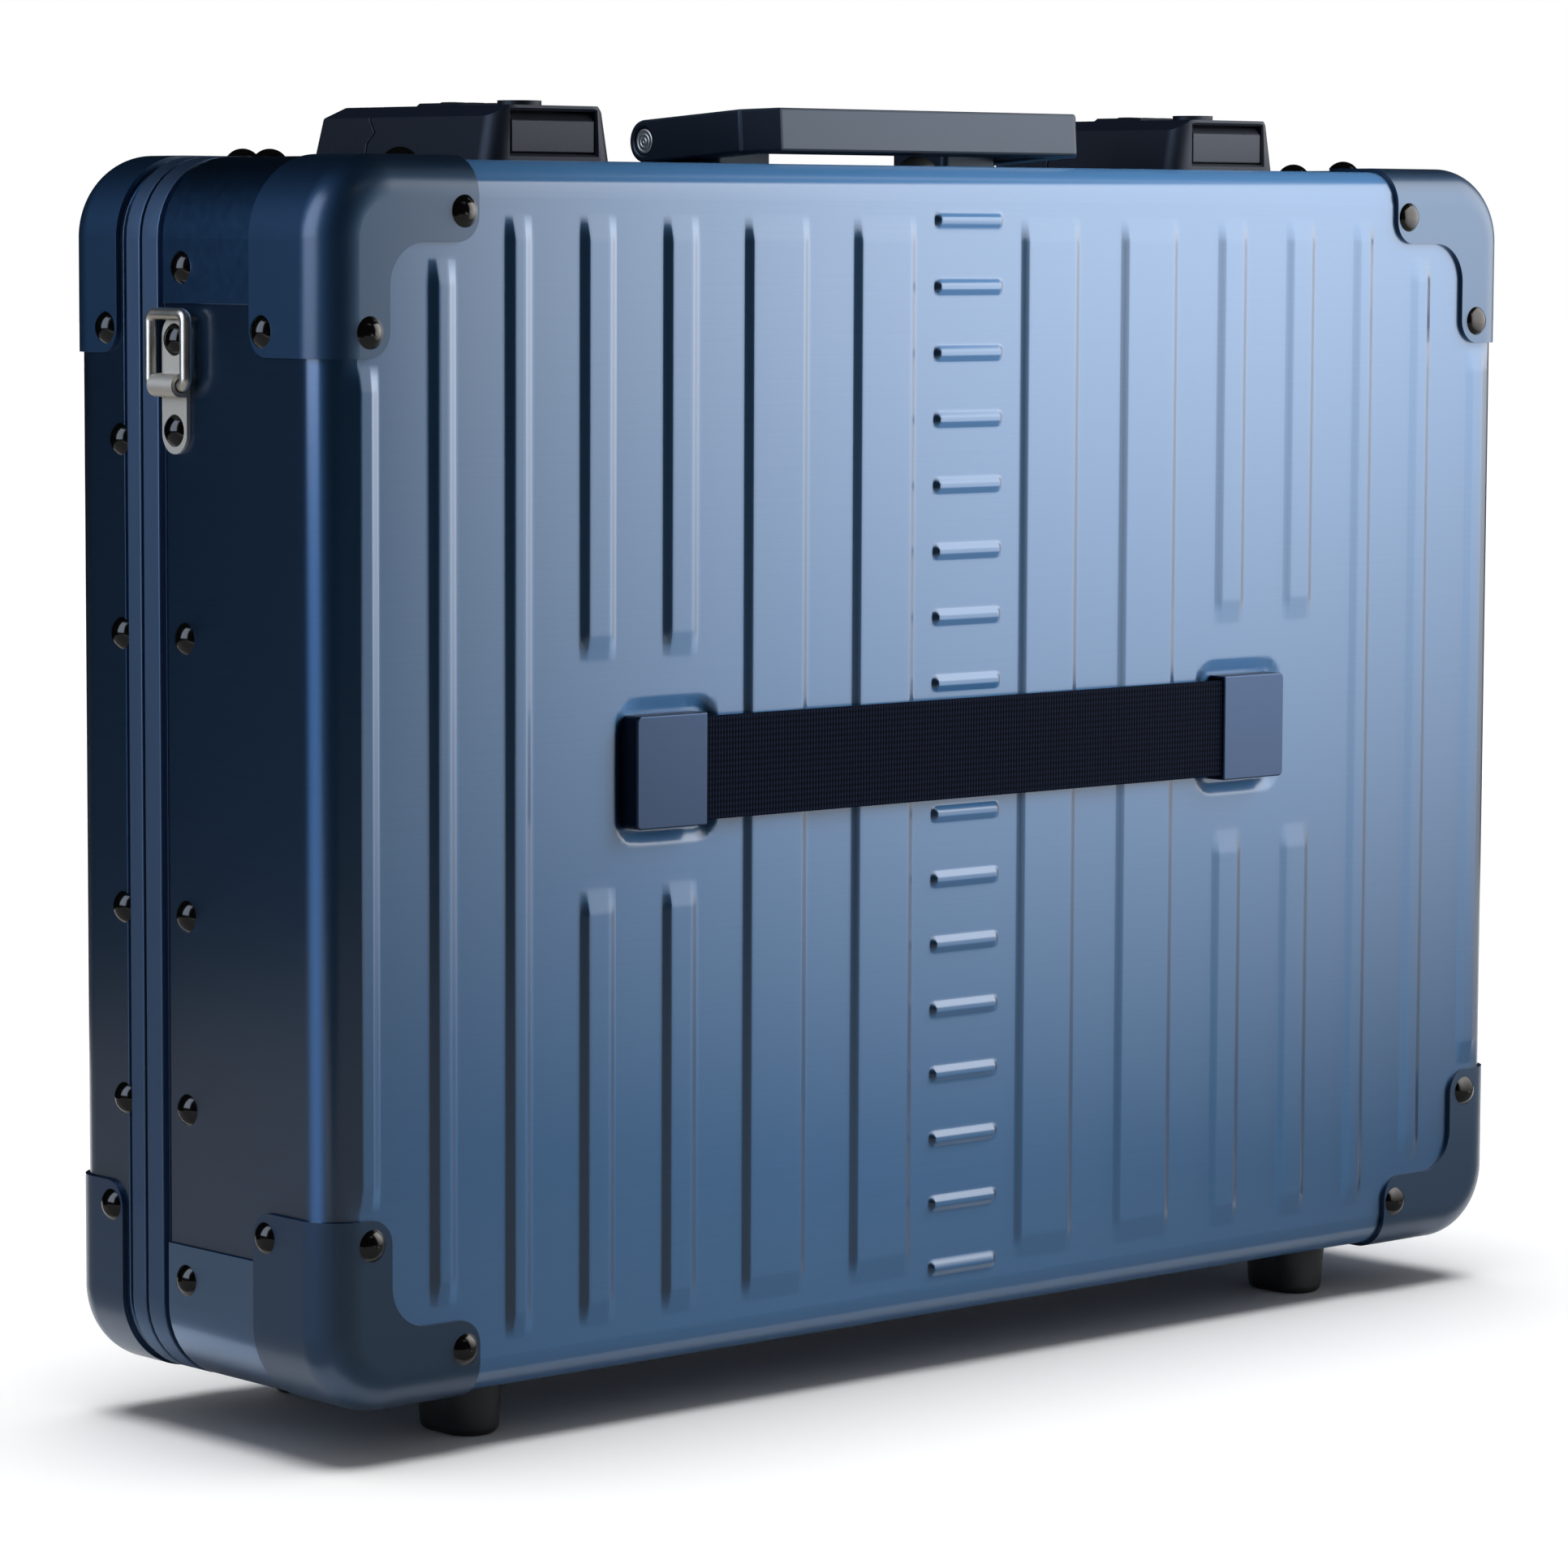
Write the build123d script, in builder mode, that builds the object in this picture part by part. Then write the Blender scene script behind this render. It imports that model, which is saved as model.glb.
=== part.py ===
from build123d import *
import os
from math import asin, atan2, cos, degrees, hypot, radians, sin

os.makedirs("parts", exist_ok=True)

# Case halves: width along X, depth along Y from the ribbed face, height along Z
shell_width = 452.0
shell_height = 327.0
body_depth = 79.5
lid_depth = 33.9
parting_gap = 1.1
sheet = 1.5
corner_radius = 21.0
bend_radius = 10.0
foot_height = 15.0

# Pressed ribs and the middle column of short bars
rib_widths = [24.0, 24.0, 13.0, 13.0, 9.5, 9.5, 9.5]
rib_first = 20.0
rib_margin = 7.5
rib_height = 1.2
rib_flank = 2.4
rib_end_margin = 13.5
rib_break = 60.0
bar_count = 17
bar_length = 26.0
bar_width = 4.4
bar_height = 1.8
bar_draft = 25.0
bar_margin = 15.2

# Extruded rims: strip on the outside, flange under the sheet, tongue and groove
body_strip = 7.2
lid_strip = 6.1
rim_rise = 0.8
rim_wall = 1.5
rim_gutter = 2.2
rim_flange = 14.0
tongue_length = 3.1
tongue_inset = 1.6
groove_clearance = 0.4
gasket_thickness = 2.1
gasket_gap = 0.3

# Moulded liners
liner_sheet = 1.2
liner_gap = 0.3
liner_setback = 1.5

# Corner guards and the bands round the corners of the side walls
guard_sheet = 1.2
guard_width = 49.3
guard_drop = 51.5
guard_side_leg = 20.0
guard_top_leg = 21.5
guard_depth_body = 31.4
guard_depth_lid = 23.8
guard_inner_radius = 11.5
guard_end_radius = 7.0
band_sheet = 0.7
band_drop = 38.0
band_gap = 0.2

# Domed rivets
rivet_diameter = 8.6
rivet_rise = 2.2
guard_rivet_inset_x = 4.8
guard_rivet_inset_z = 6.7
guard_rivet_inset_y = 5.2
guard_rivet_edge = 13.5
body_rivet_setback = 17.5
lid_rivet_setback = 10.4
side_rivet_low = 37.0
side_rivet_high = 89.0
band_rivet_drop = 28.5
lid_top_rivet = 75.0

# Elastic strap, its clips and their recesses
strap_width = 28.3
strap_thickness = 1.4
strap_gap = 0.3
clip_width = 25.0
clip_sheet = 1.0
clip_gap = 0.2
clip_tuck = 8.0
clip_corner_radius = 1.6
recess_width = 37.0
recess_height = 41.0
recess_depth = 2.5
recess_draft = 35.0

# Feet
foot_width = 18.4
foot_guard_gap = 5.5
body_foot_setback = 13.4
lid_foot_setback = 10.5
body_foot_depth = 26.0
lid_foot_depth = 14.0
foot_roundness = 0.48
foot_draft = 4.5
foot_edge_radius = 2.4

# Handle, its brackets, pins and bumper
handle_width = 130.0
handle_reach = 49.5
handle_rim_gap = 1.3
handle_bar = 12.0
handle_arm = 10.0
handle_thickness = 12.0
handle_corner = 8.0
handle_tilt = 3.5
handle_floor_gap = 0.6
pin_diameter = 4.0
pin_head_diameter = 7.0
pin_head_height = 1.4
pin_head_sink = 0.4
running_clearance = 0.05
bracket_length = 21.0
bracket_depth = 23.0
bracket_base = 4.0
bracket_lug = 10.0
bracket_gap = 0.5
bumper_diameter = 10.5
rest_gap = 0.3

# Shoulder strap rings and their brackets
bracket_plate_width = 11.0
bracket_plate_height = 36.4
bracket_plate_sheet = 1.2
bracket_plate_gap = 3.3
bracket_plate_setback = 15.0
ring_wire = 3.2
ring_height = 22.0
ring_play = 0.3
ring_lift = 0.3
ring_corner_radius = 2.0
ring_rivet_offset = 12.0

# Piano hinge
hinge_length = 280.0
hinge_knuckles = 7
hinge_sheet = 1.2
knuckle_radius = 2.6
hinge_pin_diameter = 2.4
hinge_gap = 0.3
body_leaf_width = 8.0
lid_leaf_width = 3.0
leaf_gap = 0.6

# Lid stays
stay_offset = 12.0
stay_height = 42.3
stay_open_angle = 95.0
stay_sheet = 2.0
stay_width = 11.0
stay_end = 5.5
stud_diameter = 5.0
stud_head_diameter = 8.0
stud_head_height = 1.5
stud_shoulder = 3.7
stay_play = 0.3

# Locks: case, hasp and the works inside
lock_inset = 96.0
lock_width = 44.0
lock_height = 15.0
lock_length = 54.75
lock_draft = 2.2
lock_shoulder = 3.0
lock_slope = 4.4
lock_nose_radius = 6.0
lock_wall = 3.0
lock_rear_wall = 5.2
lock_side_wall = 4.0
lock_roof = 3.5
seam_gap = 0.6
ridge_depth = 2.8
ridge_height = 6.4
ridge_middle = 8.0
hasp_length = 22.6
hasp_draft = 1.5
hasp_tongue_width = 18.0
hasp_tongue_thickness = 2.5
hasp_tongue_lift = 1.6
hasp_tongue_end = 2.4
hasp_tongue_play = 0.4
hasp_tongue_rise = 0.7
works_gap = 0.3
button_width = 28.8
button_base = 0.9
button_sill = 2.4
button_face = 8.4
button_rise = 2.3
button_slope = 2.2
button_sheet = 3.9
button_inset = 0.6
button_play = 0.4
window_bevel = 0.7
button_flange = 2.7
button_flange_height = 6.0
button_arm = 14.0
button_travel = 4.0
latch_lift = 3.2
latch_rail = 3.2
latch_thickness = 3.0
latch_bar = 5.4
latch_tooth_width = 10.0
latch_tooth_gap = 0.4
latch_tooth_past = 0.2
latch_rest_gap = 0.5
latch_rail_start = 8.0
latch_wedge = 2.5
wedge_gap = 0.25
dial_count = 3
dial_sides = 10
dial_radius = 6.5
dial_width = 5.4
dial_pitch = 7.0
dial_rise = 1.5
dial_setback = 35.0
dial_slot_gap = 0.4
dial_axle_diameter = 3.0
dial_lug = 2.4
dial_lug_depth = 6.0
bezel_width = 24.0
bezel_depth = 20.0
bezel_rise = 0.9
bezel_draft = 40.0
plug_diameter = 8.0
plug_setback = 15.0
plug_boss_diameter = 12.0
plug_boss_rise = 1.5
plug_sink = 0.3
plug_collar = 1.1
plug_collar_width = 1.0
plug_depth = 6.5
key_slot_width = 1.4
key_slot_length = 5.0
key_slot_depth = 3.0

# Places worked out from the sizes
shell_depth = body_depth + parting_gap + lid_depth
strap_lift = bar_height + strap_gap
clip_reach = strap_lift + strap_thickness + clip_gap + clip_sheet
guard_reach = guard_sheet + rivet_rise
y_face = -(shell_depth + guard_reach - clip_reach) / 2
y_body = y_face + body_depth
y_part = y_body + parting_gap / 2
y_lid = y_body + parting_gap
y_back = y_face + shell_depth
z_bottom = foot_height
z_top = foot_height + shell_height
z_middle = foot_height + shell_height / 2
half_width = shell_width / 2
half_height = shell_height / 2
y_hinge = y_part
z_hinge = z_bottom - rim_rise - hinge_gap - knuckle_radius

front = Plane((0, y_face, z_middle), x_dir=(1, 0, 0), z_dir=(0, -1, 0))
rear = Plane((0, y_back, z_middle), x_dir=(-1, 0, 0), z_dir=(0, 1, 0))
body_edge = Plane((0, y_body, z_middle), x_dir=(1, 0, 0), z_dir=(0, -1, 0))
lid_edge = Plane((0, y_lid, z_middle), x_dir=(-1, 0, 0), z_dir=(0, 1, 0))
sides = {"left": -1, "right": 1}
levels = {"lower": -1, "upper": 1}


def save(part, name):
    """Labels one finished piece and writes it."""
    part.label = name
    export_step(part, f"parts/{name}.step")


def outline(plane, grow):
    """The case outline on a plane, grown outwards by a distance."""
    with BuildSketch(plane) as form:
        RectangleRounded(shell_width + 2 * grow, shell_height + 2 * grow, corner_radius + grow)
    return form.sketch


def drawn_form(face, depth, grow, rise):
    """The drawn form of one half: its side walls grown by one distance and its face raised by another."""
    with BuildPart() as form:
        extrude(outline(face.offset(rise), grow), amount=-(depth + rise))
        bent_edges = form.faces().sort_by(Axis(face.origin, face.z_dir))[-1].edges()
        fillet(bent_edges, bend_radius + grow)
    return form.part


# Rib places on one half of the face: the gap follows from the width that is left
rib_room = half_width - rib_first - rib_margin - sum(rib_widths)
rib_gap = rib_room / (len(rib_widths) - 1)
rib_starts = [rib_first + sum(rib_widths[:i]) + i * rib_gap for i in range(len(rib_widths))]
rib_reaches = [half_height - rib_end_margin] * (len(rib_widths) - 2)
rib_reaches.append(half_height - guard_top_leg - rib_flank - guard_sheet)
rib_reaches.append(half_height - guard_drop - guard_sheet)
bar_pitch = (shell_height - 2 * bar_margin) / (bar_count - 1)
clip_spread = rib_starts[2] + rib_widths[2]
broken_ribs = (2, 3)


def pressed_ribs(face, broken):
    """The footprints of the vertical ribs on one face, parted round the clip recesses where broken."""
    with BuildSketch(face) as ribs:
        for start, width, reach in zip(rib_starts, rib_widths, rib_reaches):
            for side in sides.values():
                with Locations((side * (start + width / 2), 0)):
                    Rectangle(width, 2 * reach)
        if broken:
            parted = [rib_starts[i] + rib_widths[i] / 2 for i in broken_ribs]
            parted_width = max(rib_widths[i] for i in broken_ribs)
            with Locations([(side * x, 0) for x in parted for side in sides.values()]):
                Rectangle(parted_width, rib_break, mode=Mode.SUBTRACT)
    return ribs.sketch


def pressed_bars(face):
    """The footprints of the short bars in the middle column of one face."""
    with BuildSketch(face) as bars:
        with GridLocations(0, bar_pitch, 1, bar_count):
            SlotOverall(bar_length, bar_width)
    return bars.sketch


rib_draft = degrees(atan2(rib_flank, rib_height))
body_wall = body_depth - body_strip - rim_gutter
lid_wall = lid_depth - lid_strip - rim_gutter
recess_spots = [(side * clip_spread, 0) for side in sides.values()]

# Body shell: a drawn tray, open at the parting line, with ribs, bars and clip recesses pressed in
with BuildPart() as body_shell:
    add(drawn_form(front, body_wall, 0, 0))
    add(drawn_form(front, body_depth, -sheet, -sheet), mode=Mode.SUBTRACT)
    with BuildSketch(front.offset(-sheet)):
        with Locations(recess_spots):
            RectangleRounded(recess_width, recess_height, bend_radius / 2)
    extrude(amount=-recess_depth)
    with BuildSketch(front):
        with Locations(recess_spots):
            RectangleRounded(recess_width, recess_height, bend_radius / 2)
    extrude(amount=-recess_depth, taper=recess_draft, mode=Mode.SUBTRACT)
    extrude(pressed_ribs(front, True), amount=rib_height, taper=rib_draft)
    extrude(pressed_bars(front), amount=bar_height, taper=bar_draft)
save(body_shell.part, "body_shell")

# Lid shell: the shallow tray behind, with the same ribs and bars
with BuildPart() as lid_shell:
    add(drawn_form(rear, lid_wall, 0, 0))
    add(drawn_form(rear, lid_depth, -sheet, -sheet), mode=Mode.SUBTRACT)
    extrude(pressed_ribs(rear, False), amount=rib_height, taper=rib_draft)
    extrude(pressed_bars(rear), amount=bar_height, taper=bar_draft)
save(lid_shell.part, "lid_shell")


def rim_band(plane, outer, inner):
    """A band that follows the case outline, between two distances from the sheet's outer face."""
    with BuildSketch(plane) as band:
        add(outline(Plane.XY, outer))
        add(outline(Plane.XY, inner), mode=Mode.SUBTRACT)
    return band.sketch


flange_inner = -sheet - rim_wall
tongue_inner = flange_inner
groove_outer = -tongue_inset + groove_clearance
groove_inner = tongue_inner - groove_clearance
lid_nose_inner = groove_inner - rim_wall
groove_depth = tongue_length - parting_gap + gasket_gap + gasket_thickness

# Body frame: an extruded rim with a flange under the sheet and a tongue towards the lid
with BuildPart() as body_frame:
    extrude(rim_band(body_edge, rim_rise, -sheet), amount=body_strip)
    extrude(rim_band(body_edge, -sheet, flange_inner), amount=body_strip + rim_flange)
    extrude(rim_band(body_edge, -tongue_inset, tongue_inner), amount=-tongue_length)
save(body_frame.part, "body_frame")

# Lid frame: the matching rim, with the groove that takes the tongue and the gasket
with BuildPart() as lid_frame:
    extrude(rim_band(lid_edge, rim_rise, lid_nose_inner), amount=groove_depth + rim_wall)
    extrude(rim_band(lid_edge, rim_rise, -sheet), amount=lid_strip)
    extrude(rim_band(lid_edge, -sheet, flange_inner), amount=lid_strip + rim_flange)
    extrude(rim_band(lid_edge, groove_outer, groove_inner), amount=groove_depth, mode=Mode.SUBTRACT)
save(lid_frame.part, "lid_frame")

# Gasket: a rubber cord of square section at the bottom of the groove
with BuildPart() as gasket:
    gasket_seat = lid_edge.offset(groove_depth - gasket_thickness)
    extrude(rim_band(gasket_seat, groove_outer, groove_inner), amount=gasket_thickness)
save(gasket.part, "gasket")

# Lid stays: pivot and stud lie equally far from the hinge, so the arm turns by half the lid's angle
stay_radius = hypot(stay_offset, stay_height)
stay_start_angle = degrees(2 * asin(stay_offset / stay_radius))
stay_chord_shut = 2 * stay_offset
stay_chord_open = 2 * stay_radius * sin(radians((stay_start_angle + stay_open_angle) / 2))
stay_wall = half_width + flange_inner
stay_face = stay_wall - stud_shoulder - stay_play
z_stay = z_hinge + stay_height
y_stud = y_hinge - stay_offset
y_pivot_stay = y_hinge + stay_offset
liner_outer = flange_inner - liner_gap
liner_inner = liner_outer - liner_sheet
liner_hole = stud_head_diameter + 2 * stay_play


def liner(face, depth, floor, y_stay):
    """A moulded tray inside one half, with a clearance hole for the stay on each side."""
    with BuildPart() as tray:
        add(drawn_form(face, depth, liner_outer, -floor))
        add(drawn_form(face, depth + liner_sheet, liner_inner, -floor - liner_sheet), mode=Mode.SUBTRACT)
        with BuildSketch(Plane.YZ):
            with Locations((y_stay, z_stay)):
                Circle(liner_hole / 2)
        extrude(amount=half_width, both=True, mode=Mode.SUBTRACT)
    return tray.part


body_liner_floor = sheet + recess_depth + liner_gap
lid_liner_floor = sheet + liner_gap
lid_nose = groove_depth + rim_wall
save(liner(front, body_depth - liner_setback, body_liner_floor, y_stud), "body_liner")
save(liner(rear, lid_depth - lid_nose - liner_gap, lid_liner_floor, y_pivot_stay), "lid_liner")


def turned_post(y):
    """The shouldered rivets that carry the stays, one on each side wall."""
    steps = [(stud_head_diameter, stud_shoulder), (stud_diameter, stay_sheet + 2 * stay_play)]
    steps.append((stud_head_diameter, stud_head_height))
    with BuildPart() as posts:
        for side in sides.values():
            seat = Plane((side * stay_wall, y, z_stay), x_dir=(0, 1, 0), z_dir=(-side, 0, 0))
            for diameter, length in steps:
                with BuildSketch(seat):
                    Circle(diameter / 2)
                extrude(amount=length)
                seat = seat.offset(length)
    return posts.part


save(turned_post(y_stud), "stay_studs")
save(turned_post(y_pivot_stay), "stay_pivots")

for name, side in sides.items():
    with BuildPart() as stay_arm:
        arm_plane = Plane((side * stay_face, y_pivot_stay, z_stay), x_dir=(0, -1, 0), z_dir=(-side, 0, 0))
        arm_length = stay_chord_open + 2 * stay_end
        slot_travel = stay_chord_open - stay_chord_shut
        with BuildSketch(arm_plane):
            with Locations((stay_chord_open / 2, 0)):
                SlotOverall(arm_length, stay_width)
            Circle(stud_diameter / 2 + running_clearance, mode=Mode.SUBTRACT)
            with Locations((stay_chord_shut + slot_travel / 2, 0)):
                SlotCenterToCenter(slot_travel, stud_diameter + 2 * stay_play, mode=Mode.SUBTRACT)
        extrude(amount=stay_sheet)
    save(stay_arm.part, f"stay_arm_{name}")

# Corner guards: pressed sheet over each corner, cut to an L on the face, with rounded ends on the side walls
guard_left = half_width - guard_width
guard_low = half_height - guard_drop
guard_arm_x = half_width - guard_side_leg
guard_arm_z = half_height - guard_top_leg
guard_far = half_width + 2 * guard_sheet
guard_high = half_height + 2 * guard_sheet


def corner_guard(face, depth):
    """The guard of the corner at the right and top of a face, seen from outside."""
    with BuildPart() as guard:
        add(drawn_form(face, depth, guard_sheet, guard_sheet))
        add(drawn_form(face, depth, 0, 0), mode=Mode.SUBTRACT)
        with BuildSketch(face.offset(guard_sheet)) as ell:
            with BuildLine():
                Polyline(
                    (guard_left, guard_arm_z),
                    (guard_left, guard_high),
                    (guard_far, guard_high),
                    (guard_far, guard_low),
                    (guard_arm_x, guard_low),
                    (guard_arm_x, guard_arm_z),
                    close=True,
                )
            make_face()
            fillet(ell.vertices().sort_by_distance((guard_arm_x, guard_arm_z))[0], guard_inner_radius)
            fillet(ell.vertices().sort_by_distance((guard_arm_x, guard_low))[0], guard_end_radius)
            fillet(ell.vertices().sort_by_distance((guard_left, guard_arm_z))[0], guard_end_radius)
        extrude(amount=-depth - guard_sheet, mode=Mode.INTERSECT)
        side_corner = face.from_local_coords((half_width, guard_low, -depth))
        top_corner = face.from_local_coords((guard_left, half_height, -depth))
        cut_edges = guard.edges().filter_by(lambda edge: edge.length < 1.5 * guard_sheet)
        corners = [cut_edges.sort_by_distance(spot)[0] for spot in (side_corner, top_corner)]
        fillet(corners, guard_end_radius)
    return guard.part


for half, face, depth in (("body", front, guard_depth_body), ("lid", rear, guard_depth_lid)):
    upper_right = corner_guard(face, depth)
    for level, up in levels.items():
        for name, side in sides.items():
            guard = upper_right
            if side * face.x_dir.X < 0:
                guard = mirror(guard, about=Plane.YZ)
            if up < 0:
                guard = mirror(guard, about=Plane.XY.offset(z_middle))
            save(guard, f"{half}_guard_{level}_{name}")

# Corner bands: thin sheet round the corners of the body's side walls, between the guards and the rim
with BuildPart() as body_corner_bands:
    band_start = guard_depth_body + band_gap
    with BuildSketch(front.offset(-band_start)):
        add(rim_band(Plane.XY, band_sheet, 0))
        Rectangle(shell_width - 2 * band_drop, 2 * shell_height, mode=Mode.SUBTRACT)
        Rectangle(2 * shell_width, shell_height - 2 * band_drop, mode=Mode.SUBTRACT)
    extrude(amount=band_start - body_wall)
save(body_corner_bands.part, "body_corner_bands")

# Domed rivet heads, turned once and set on every seat
with BuildPart() as rivet_head:
    with BuildSketch(Plane.XZ):
        with BuildLine():
            Line((0, rivet_rise), (0, 0))
            Line((0, 0), (rivet_diameter / 2, 0))
            dome_radius = ((rivet_diameter / 2) ** 2 + rivet_rise**2) / (2 * rivet_rise)
            RadiusArc((rivet_diameter / 2, 0), (0, rivet_rise), -dome_radius)
        make_face()
    revolve(axis=Axis.Z)


def side_seat(side, y, z, rise):
    """A seat on a side wall, facing outwards, at a height from the case's middle."""
    return Plane((side * (half_width + rise), y, z_middle + z), x_dir=(0, 1, 0), z_dir=(side, 0, 0))


def flat_seat(x, y, up, rise):
    """A seat on the top or the bottom wall, facing outwards."""
    return Plane((x, y, z_middle + up * (half_height + rise)), x_dir=(1, 0, 0), z_dir=(0, 0, up))


def guard_seats(face, depth):
    """The four rivet seats of each corner guard on one half."""
    inward = -face.z_dir.Y
    y_side = face.origin.Y + inward * (depth - guard_rivet_inset_y)
    face_x = guard_left + guard_rivet_inset_x
    face_z = guard_low + guard_rivet_inset_z
    seats = []
    for up in levels.values():
        for side in sides.values():
            seats.append(side_seat(side, y_side, up * face_z, guard_sheet))
            seats.append(flat_seat(side * face_x, y_side, up, guard_sheet))
            on_face = face.offset(guard_sheet)
            for x, z in ((face_x, half_height - guard_rivet_edge), (half_width - guard_rivet_edge, face_z)):
                spot = on_face.from_local_coords((side * x, up * z, 0))
                seats.append(Plane(spot, x_dir=face.x_dir, z_dir=face.z_dir))
    return seats


y_body_rivets = y_body - body_rivet_setback
y_lid_rivets = y_lid + lid_rivet_setback
y_ring = y_body - bracket_plate_setback
ring_level = half_height - band_drop - bracket_plate_gap - bracket_plate_height / 2
z_ring = z_middle + ring_level
body_seats = guard_seats(front, guard_depth_body)
lid_seats = guard_seats(rear, guard_depth_lid)
for side in sides.values():
    for z in (side_rivet_low, -side_rivet_low, -side_rivet_high):
        body_seats.append(side_seat(side, y_body_rivets, z, 0))
    for up in levels.values():
        band_z = up * (half_height - band_rivet_drop)
        band_x = side * (half_width - band_rivet_drop)
        body_seats.append(side_seat(side, y_body_rivets, band_z, band_sheet))
        body_seats.append(flat_seat(band_x, y_body_rivets, up, band_sheet))
        ring_z = ring_level + up * ring_rivet_offset
        body_seats.append(side_seat(side, y_ring, ring_z, bracket_plate_sheet))
        for z in (side_rivet_low, side_rivet_high):
            lid_seats.append(side_seat(side, y_lid_rivets, up * z, 0))
    for x in (side_rivet_low, side_rivet_high):
        body_seats.append(flat_seat(side * x, y_body_rivets, -1, 0))
    lid_seats.append(flat_seat(side * lid_top_rivet, y_lid_rivets, 1, 0))

with BuildPart() as body_rivets:
    with Locations(*body_seats):
        add(rivet_head.part)
save(body_rivets.part, "body_rivets")

with BuildPart() as lid_rivets:
    with Locations(*lid_seats):
        add(rivet_head.part)
save(lid_rivets.part, "lid_rivets")

# Elastic strap: a flat woven band over the middle bar, its ends tucked into the clips
with BuildPart() as elastic_strap:
    with BuildSketch(front.offset(strap_lift)):
        Rectangle(2 * (clip_spread + clip_tuck), strap_width)
    extrude(amount=strap_thickness)
save(elastic_strap.part, "elastic_strap")

# Strap clips: bent sheet caps over the strap's ends, closed outwards, that stand in the pressed recesses
clip_height = strap_width + 2 * (clip_gap + clip_sheet)
for name, side in sides.items():
    with BuildPart() as strap_clip:
        with BuildSketch(Plane.YZ.offset(side * clip_spread)):
            with Locations((y_face - clip_reach, z_middle)):
                Rectangle(clip_reach + recess_depth, clip_height, align=(Align.MIN, Align.CENTER))
            with Locations((y_face - clip_reach + clip_sheet, z_middle)):
                channel = clip_height - 2 * clip_sheet
                channel_align = (Align.MIN, Align.CENTER)
                Rectangle(clip_reach + recess_depth, channel, align=channel_align, mode=Mode.SUBTRACT)
        extrude(amount=clip_width / 2, both=True)
        with BuildSketch(Plane.YZ.offset(side * (clip_spread + clip_width / 2 - clip_sheet))):
            with Locations((y_face - clip_reach, z_middle)):
                Rectangle(clip_reach + recess_depth, clip_height, align=(Align.MIN, Align.CENTER))
        extrude(amount=side * clip_sheet)
        outer_end = strap_clip.faces().sort_by(Axis.X)[-1 if side > 0 else 0]
        fillet(outer_end.edges().filter_by(Axis.Y), clip_corner_radius)
        outer_face = strap_clip.faces().sort_by(Axis.Y)[0]
        fillet(outer_face.edges(), clip_sheet / 2)
    save(strap_clip.part, f"strap_clip_{name}")

# Feet: moulded rubber, standing beside the corner guards
foot_spread = half_width - guard_width - foot_guard_gap - foot_width / 2


def foot(face, side, setback, depth):
    """A moulded foot under one half, round at both ends, drafted and rounded where it meets the floor."""
    y_foot = face.origin.Y - face.z_dir.Y * (setback + depth / 2)
    with BuildPart() as pad:
        with BuildSketch(Plane.XY.offset(foot_height)):
            with Locations((side * foot_spread, y_foot)):
                RectangleRounded(foot_width, depth, foot_roundness * min(foot_width, depth))
        extrude(amount=-foot_height, taper=foot_draft)
        fillet(pad.faces().sort_by(Axis.Z)[0].edges(), foot_edge_radius)
    return pad.part


for name, side in sides.items():
    save(foot(front, side, body_foot_setback, body_foot_depth), f"body_foot_{name}")
    save(foot(rear, side, lid_foot_setback, lid_foot_depth), f"lid_foot_{name}")

# Handle: a flat bent bar that swings on two pins and rests on a bumper, tilted up towards the ribbed face
y_pivot = y_body - body_strip - handle_rim_gap - handle_thickness / 2
z_pivot = z_top + handle_floor_gap + handle_thickness / 2
tilt = radians(handle_tilt)
handle_plane = Plane((0, y_pivot, z_pivot), x_dir=(1, 0, 0), z_dir=(0, sin(tilt), cos(tilt)))
handle_half = handle_width / 2
arm_inner = handle_half - handle_arm
lug_outer = arm_inner - bracket_gap
head_floor = handle_half - pin_head_sink - pin_head_height

with BuildPart() as handle:
    with BuildSketch(handle_plane):
        with BuildLine():
            Polyline(
                (-handle_half, 0),
                (-handle_half, handle_corner - handle_reach),
                (handle_corner - handle_half, -handle_reach),
                (handle_half - handle_corner, -handle_reach),
                (handle_half, handle_corner - handle_reach),
                (handle_half, 0),
                (arm_inner, 0),
                (arm_inner, handle_bar - handle_reach),
                (-arm_inner, handle_bar - handle_reach),
                (-arm_inner, 0),
                close=True,
            )
        make_face()
    extrude(amount=handle_thickness / 2, both=True)
    for side in sides.values():
        with BuildSketch(Plane.YZ.offset(side * arm_inner)):
            with Locations((y_pivot, z_pivot)):
                Circle(handle_thickness / 2)
        extrude(amount=side * handle_arm)
    with BuildSketch(Plane.YZ):
        with Locations((y_pivot, z_pivot)):
            Circle(pin_diameter / 2 + running_clearance)
    extrude(amount=handle_half, both=True, mode=Mode.SUBTRACT)
    for side in sides.values():
        with BuildSketch(Plane.YZ.offset(side * (head_floor - rest_gap))):
            with Locations((y_pivot, z_pivot)):
                Circle(pin_head_diameter / 2 + rest_gap)
        extrude(amount=side * handle_arm, mode=Mode.SUBTRACT)
save(handle.part, "handle")

with BuildPart() as handle_pins:
    for side in sides.values():
        for radius, start, end in (
            (pin_diameter / 2, lug_outer - bracket_lug, head_floor),
            (pin_head_diameter / 2, head_floor, head_floor + pin_head_height),
        ):
            with BuildSketch(Plane.YZ.offset(side * start)):
                with Locations((y_pivot, z_pivot)):
                    Circle(radius)
            extrude(amount=side * (end - start))
save(handle_pins.part, "handle_pins")

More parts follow.
